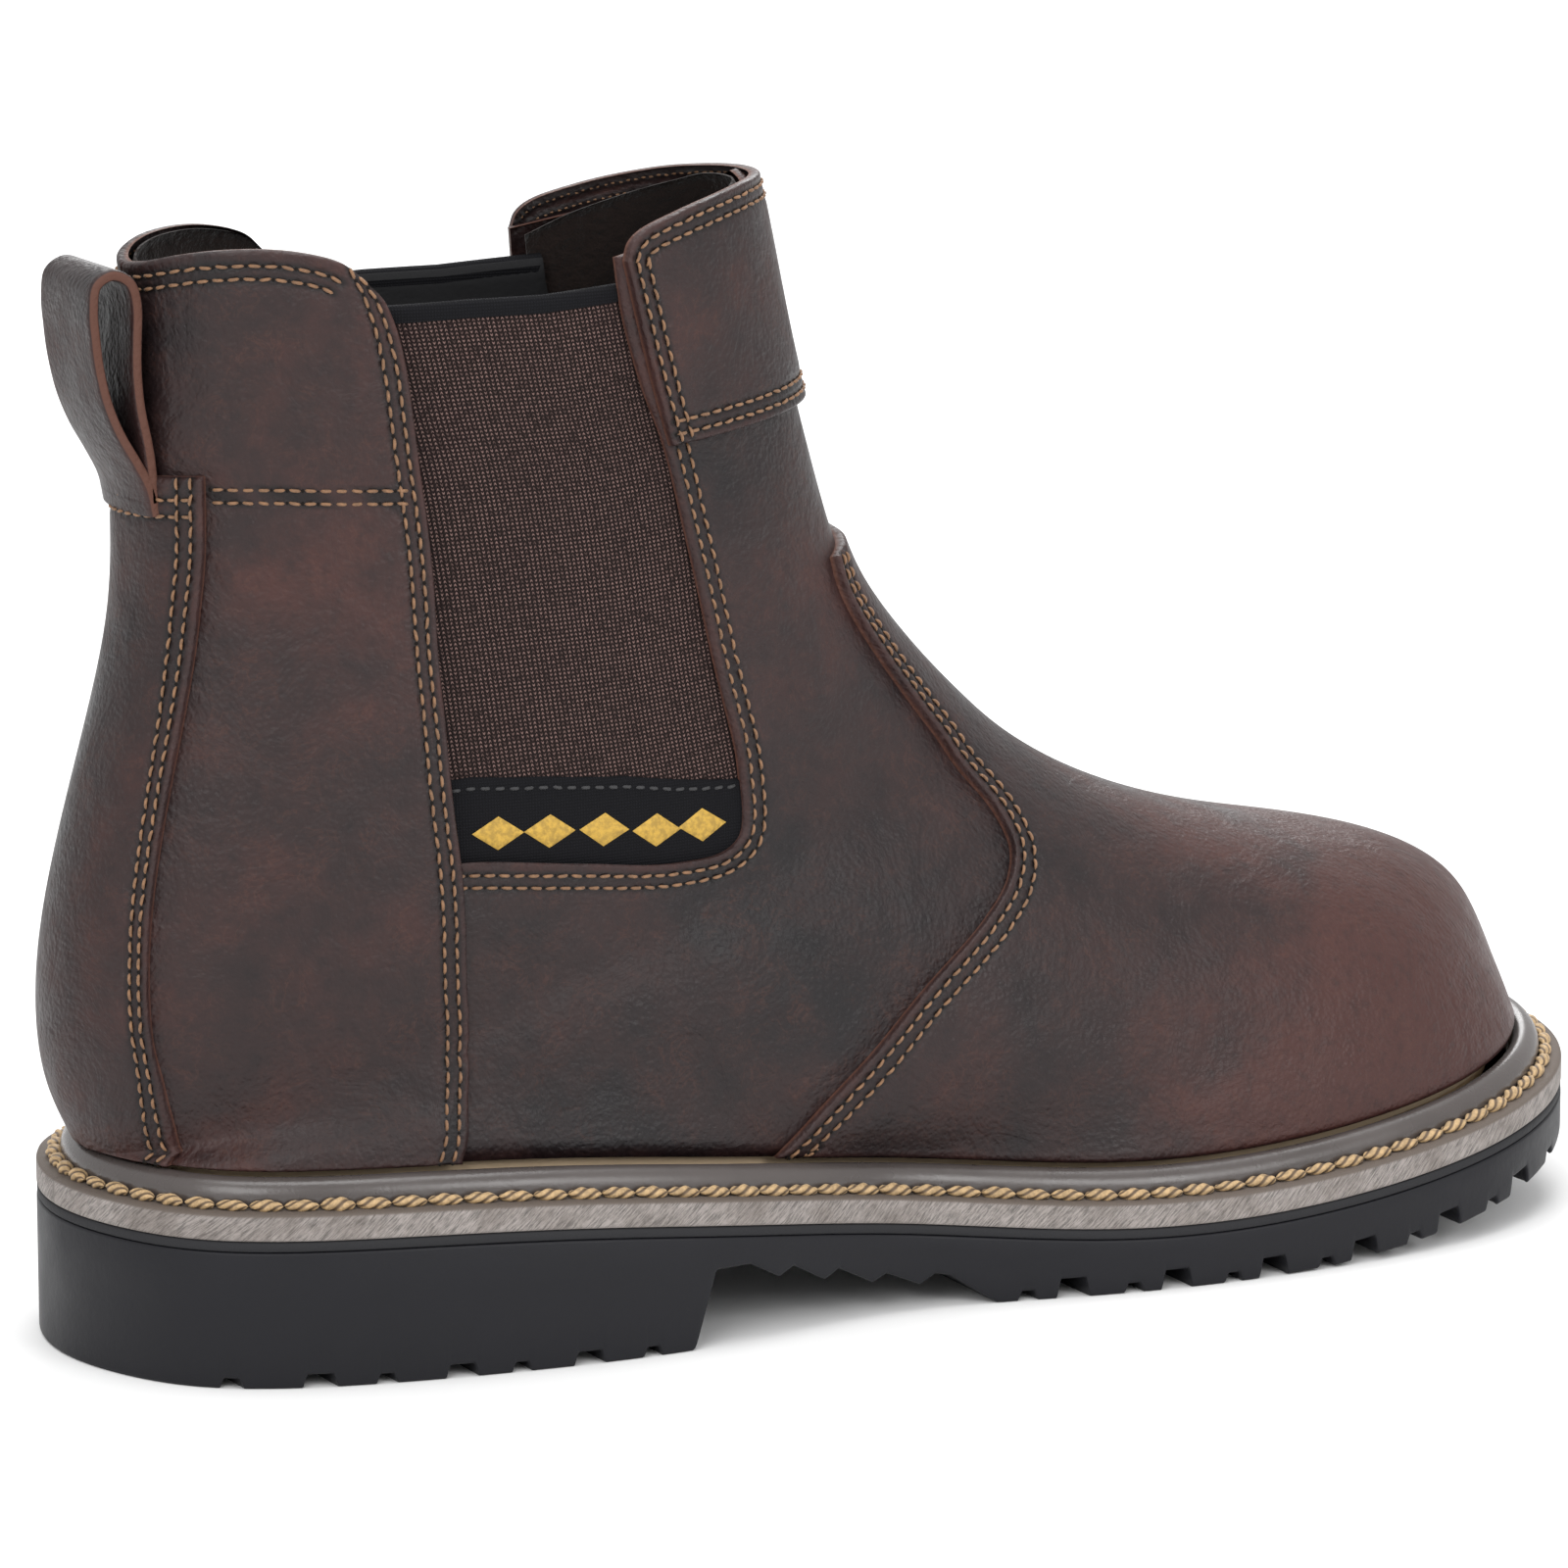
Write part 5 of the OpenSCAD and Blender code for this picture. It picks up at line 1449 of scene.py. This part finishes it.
@dataclass
class Boot:
    """The whole boot over its frame.

    A layer is a piece's lower and upper height over the reference face, and a lining is the section and
    the width that it ends at and its drop below the collar.
    """

    finishes: Finishes
    form: BootForm = field(default_factory=BootForm)
    stitching: Stitching = field(default_factory=Stitching)
    body: str = "boot"
    loop_x: tuple[float, float] = (16.0, 14.0)
    loop_z: tuple[float, float] = (153.5, 166.0)
    web_top: tuple[tuple[float, ...], ...] = ((0.35, 0.45, 0.52, 0.62), (1.42, 1.42, 1.36, 1.32))
    web_floor: tuple[tuple[float, ...], ...] = ((0.35, 0.42, 0.5, 0.62), (12.1, 11.9, 10.6, 9.4))
    web_layer: tuple[float, float] = (-3.0, -2.1)
    web_size: tuple[int, int] = (160, 90)
    back_layer: tuple[float, float] = (-3.6, -4.2)
    label_layer: tuple[float, float] = (-2.1, -1.35)
    label_size: tuple[int, int] = (40, 80)
    label_lift: float = -1.3
    web_margin: float = 0.03
    label_margin: float = 0.012
    binding_section: tuple[tuple[float, float], ...] = (
        (2.6, -1.75), (1.4, -1.62), (0.2, -1.7), (-0.35, -2.1), (-0.6, -2.8), (-0.45, -3.6), (0.1, -4.2),
        (1.4, -4.4), (2.6, -4.3))
    motif_size: tuple[float, float, float] = (5.0, 3.0, 0.45)
    motif_ends: tuple[float, float] = (0.18, 0.82)
    motif_count: int = 5
    motif_n: int = 13
    lining_n: tuple[int, int] = (70, 121)
    front_lining: tuple[float, float, float] = (10.4, 0.368, 0.03)
    front_layer: tuple[float, float] = (-3.2, -2.2)
    heel_lining: tuple[float, float, float] = (11.6, 0.62, 0.04)
    heel_layer: tuple[float, float] = (-1.4, -0.35)

    def add(self, name: str, data: MeshData, finish: str, node: str = "", slot: str | None = None,
            ride: bool = True) -> bpy.types.Object:
        """Adds a finished piece.

        Args: name and data make the object, node is the frame's node that it stands for, if any, and ride
            ties it to the boot.
        Returns: the object.
        """
        obj = data.object(name)
        self.finishes.dress(obj, finish, slot)
        if ride:
            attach(obj, self.body)
        if node:
            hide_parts(node)
        LOG.info("%s: %d faces", name, len(data.faces))
        return obj

    def build_bottom(self) -> None:
        """Builds the outsole, slip layer, welt, storm bead and welt thread."""
        sole, rings = self.form.sole, SoleRings()
        self.add("outsole_finished", Outsole().data(sole), "outsole_rubber", "outsole")
        self.add("slip_finished", rings.sweep(sole, rings.slip), "slip_rubber", "slip_sole")
        self.add("welt_finished", rings.sweep(sole, rings.welt), "welt_edge", "welt")
        self.add("bead_finished", rings.sweep(sole, rings.bead), "bead_leather", "storm_bead")
        self.add("welt_thread_finished", WeltThread().data(sole), "welt_thread", "welt_stitching")

    def build_upper(self) -> None:
        """Builds the leather panels and their seams."""
        upper = Upper(self.form)
        made = [upper.vamp(), upper.front_quarter(), upper.collar_band(), upper.rear_quarter(Side.LATERAL),
                upper.rear_quarter(Side.MEDIAL), upper.strap()]
        for panel, _ in made:
            finish = "vamp_leather" if panel.name == "vamp" else "quarter_leather"
            self.add(f"{panel.name}_finished", panel.data(self.form), finish, panel.name)
        rows = [row for _, seam_rows in made for row in seam_rows]
        for name, data, finish in (("seam_threads", self.stitching.threads(self.form, rows), "seam_thread"),
                                   ("needle_holes", self.stitching.holes(self.form, rows), "needle_hole_shade")):
            self.add(name, data, finish, slot="quarter_leather")
        loop = self.add("pull_loop_finished", PullLoop().data(self.form.sole), "quarter_leather", "pull_loop",
                        ride=False)
        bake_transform(loop)

    def build_gores(self) -> None:
        """Builds the elastic gores with their bindings, backings and labels."""
        upper = Upper(self.form)
        label_top = np.asarray(upper.seams.label_top).T[::-1]
        for side in Side:
            name = side.name.lower()
            ends = self.web_top, self.web_floor
            web = upper.gore_places(side, ends, self.web_margin, self.web_size)
            data = Panel("web", web, self.web_layer, edge_r=0.3).data(self.form)
            self.add(f"gore_{name}_finished", self.measured(data, web), "gore_web", f"gore_{name}")
            back = Panel("back", web[::4, ::3], self.back_layer, edge_r=0.3)
            self.add(f"gore_backing_{name}_finished", back.data(self.form), "gore_backing",
                     f"gore_backing_{name}")
            ends = label_top, self.web_floor
            label = upper.gore_places(side, ends, self.label_margin, self.label_size)
            tape = Panel("tape", label, self.label_layer, edge_r=0.5)
            self.add(f"gore_label_{name}_finished", tape.data(self.form), "black_weave", f"gore_label_{name}")
            self.add(f"gore_binding_{name}_finished", self.binding(web[0]), "black_weave",
                     f"gore_binding_{name}")
            row = SeamRow(label[3, 4:-4], self.label_lift)
            self.add(f"label_seam_{name}", self.stitching.threads(self.form, [row]), "black_thread",
                     slot="black_weave")
            self.add(f"label_motif_{name}", self.motif(label), "gold_thread", slot="black_weave")

    def measured(self, data: MeshData, places: Array) -> MeshData:
        """Adds the distances across and down the web to its mesh data.

        Args: data is the web's mesh data, and places its grid.
        Returns: the data with the values across and down in millimetres.
        """
        base = self.form.at(places)
        steps = [np.linalg.norm(np.diff(base, axis=k), axis=2) for k in (0, 1)]
        down = np.pad(np.cumsum(steps[0], axis=0), ((1, 0), (0, 0)))
        across = np.pad(np.cumsum(steps[1], axis=1), ((0, 0), (1, 0)))
        middle = across.shape[1] // 2
        across -= across[:, middle:middle + 1].copy()
        rim = np.zeros(len(data.points) - across.size)
        values = {key: np.append(grid, rim) for key, grid in (("across", across), ("down", down))}
        return MeshData(data.points, data.faces, {**data.values, **values})

    def binding(self, top: Array) -> MeshData:
        """Tape folded over the top of a gore.

        Args: top is the gore's top edge as places.
        Returns: its mesh data.
        """
        down = np.sign((self.form.at(top) - self.form.at(self.form.shift(top, 1.0)))[:, 2].mean())
        rows = [self.form.at(self.form.shift(top, d * down), o) for d, o in self.binding_section]
        return MeshData(np.stack(rows).reshape(-1, 3), lattice_faces(len(rows), len(top)))

    def motif(self, label: Array) -> MeshData:
        """Row of embroidered lozenges along the label.

        Args: label is the label's grid of places.
        Returns: its mesh data.
        """
        length, height, rise = self.motif_size
        n = self.motif_n
        across = np.linspace(*self.motif_ends, self.motif_count) * (label.shape[1] - 1)
        line = label[label.shape[0] * 2 // 5]
        centre = self.form.at(line, self.label_lift)[across.astype(int)]
        facing = self.form.facing(line)[across.astype(int)]
        along = unit(np.gradient(centre, axis=0))
        up = np.cross(facing, along)
        a, b = np.meshgrid(np.linspace(-1, 1, n), np.linspace(-1, 1, n), indexing="ij")
        x, y = (a + b) / 2 * length, (a - b) / 2 * height
        z = rise * (1 - np.maximum(np.abs(a), np.abs(b)) ** 4)
        points = (centre[:, None, None] + along[:, None, None] * x[None, ..., None]
                  + up[:, None, None] * y[None, ..., None] + facing[:, None, None] * z[None, ..., None])
        return MeshData(points.reshape(-1, 3), copies(lattice_faces(n, n), self.motif_count))

    def build_linings(self) -> None:
        """Builds the linings that show in the mouth of the shaft."""
        u, v = np.linspace(0, 1, self.lining_n[0])[:, None], np.linspace(-1, 1, self.lining_n[1])
        low_s, low_t, drop = self.front_lining
        s = mix((read(smooth_curve(Seams().front_top, 200), np.abs(v))[:, 0] + drop)[None], low_s, u)
        front = np.stack([s, low_t * v[None] + 0 * s], -1)
        low_s, low_t, drop = self.heel_lining
        top_s, top_t = read(smooth_curve(Seams().rear_top, 200)[::-1], np.abs(v)).T
        s = mix((top_s + drop)[None], low_s, u)
        t = mix(top_t[None], mix(1.0, low_t, np.abs(v))[None], u)
        heel = np.stack([s, np.where(v[None] < 0, t - 2, -t)], -1)
        for node, places, layer in (("front_lining", front, self.front_layer),
                                    ("heel_lining", heel, self.heel_layer)):
            self.add(f"{node}_finished", Panel(node, places, layer).data(self.form), "lining", node)

    def dress_frame(self) -> None:
        """Gives the frame's own nodes their materials."""
        slots = {s["node"]: s["material_slot"] for s in frame["record"]["subparts"]}
        for name, node in frame["nodes"].items():
            if not node.hide_render:
                self.finishes.dress(node, slots[name])


@dataclass(frozen=True)
class Studio:
    """Pale floor, soft lights and the camera."""

    target: tuple[float, float, float] = (-0.00956, -0.00309, 0.08982)
    azimuth: float = -26.78
    elevation: float = 11.61
    distance: float = 1.4645
    lens: float = 182.9
    floor_size: float = 14.0
    world_light: float = 0.85
    lights: tuple[tuple[tuple[float, float, float], float, float], ...] = (
        ((-1.5, -1.4, 1.5), 1.3, 22.0), ((0.7, -2.2, 1.2), 1.1, 20.0), ((0.1, 0.2, 2.1), 1.6, 30.0),
        ((0.9, 1.9, 1.3), 1.0, 16.0))

    def build(self) -> None:
        """Builds the studio."""
        mesh = bpy.data.meshes.new("floor")
        half = self.floor_size / 2
        corners = [(-half, -half, 0), (half, -half, 0), (half, half, 0), (-half, half, 0)]
        mesh.from_pydata(corners, [], [(0, 1, 2, 3)])
        floor = bpy.data.objects.new("floor", mesh)
        bpy.context.scene.collection.objects.link(floor)
        sh = Shader("floor_paper")
        sh.set(Base_Color=sh.blend(sh.noise(3.0), (0.80, 0.80, 0.80), (0.82, 0.82, 0.82)), Roughness=0.9)
        floor.data.materials.append(sh.material)
        for number, (place, size, power) in enumerate(self.lights):
            lamp = bpy.data.lights.new(f"softbox_{number}", "AREA")
            lamp.size, lamp.energy = size, power
            obj = bpy.data.objects.new(lamp.name, lamp)
            obj.location = place
            aim = Vector(self.target) - Vector(place)
            obj.rotation_euler = aim.to_track_quat("-Z", "Y").to_euler()
            bpy.context.scene.collection.objects.link(obj)
        world = bpy.data.worlds.new("studio")
        world.use_nodes = True
        background = world.node_tree.nodes["Background"]
        background.inputs[0].default_value = (1.0, 1.0, 1.0, 1.0)
        background.inputs[1].default_value = self.world_light
        bpy.context.scene.world = world
        bpy.context.scene.view_settings.view_transform = "Standard"
        self.aim_camera()

    def aim_camera(self) -> None:
        """Makes the camera that looks at the boot from behind its outer side."""
        a, e = math.radians(self.azimuth), math.radians(self.elevation)
        back = Vector((math.sin(a) * math.cos(e), -math.cos(a) * math.cos(e), math.sin(e)))
        camera = bpy.data.cameras.new("camera")
        camera.lens = self.lens
        obj = bpy.data.objects.new("camera", camera)
        obj.location = Vector(self.target) + back * self.distance
        obj.rotation_mode = "QUATERNION"
        obj.rotation_quaternion = (-back).to_track_quat("-Z", "Y")
        bpy.context.scene.collection.objects.link(obj)
        bpy.context.scene.camera = obj


def main() -> None:
    """Builds the boot in order and reports its pieces."""
    logging.basicConfig(level=logging.INFO, format="%(name)s: %(message)s")
    boot = Boot(Finishes())
    boot.build_bottom()
    boot.build_upper()
    boot.build_gores()
    boot.build_linings()
    boot.dress_frame()
    Studio().build()


if __name__ == "__main__":
    main()
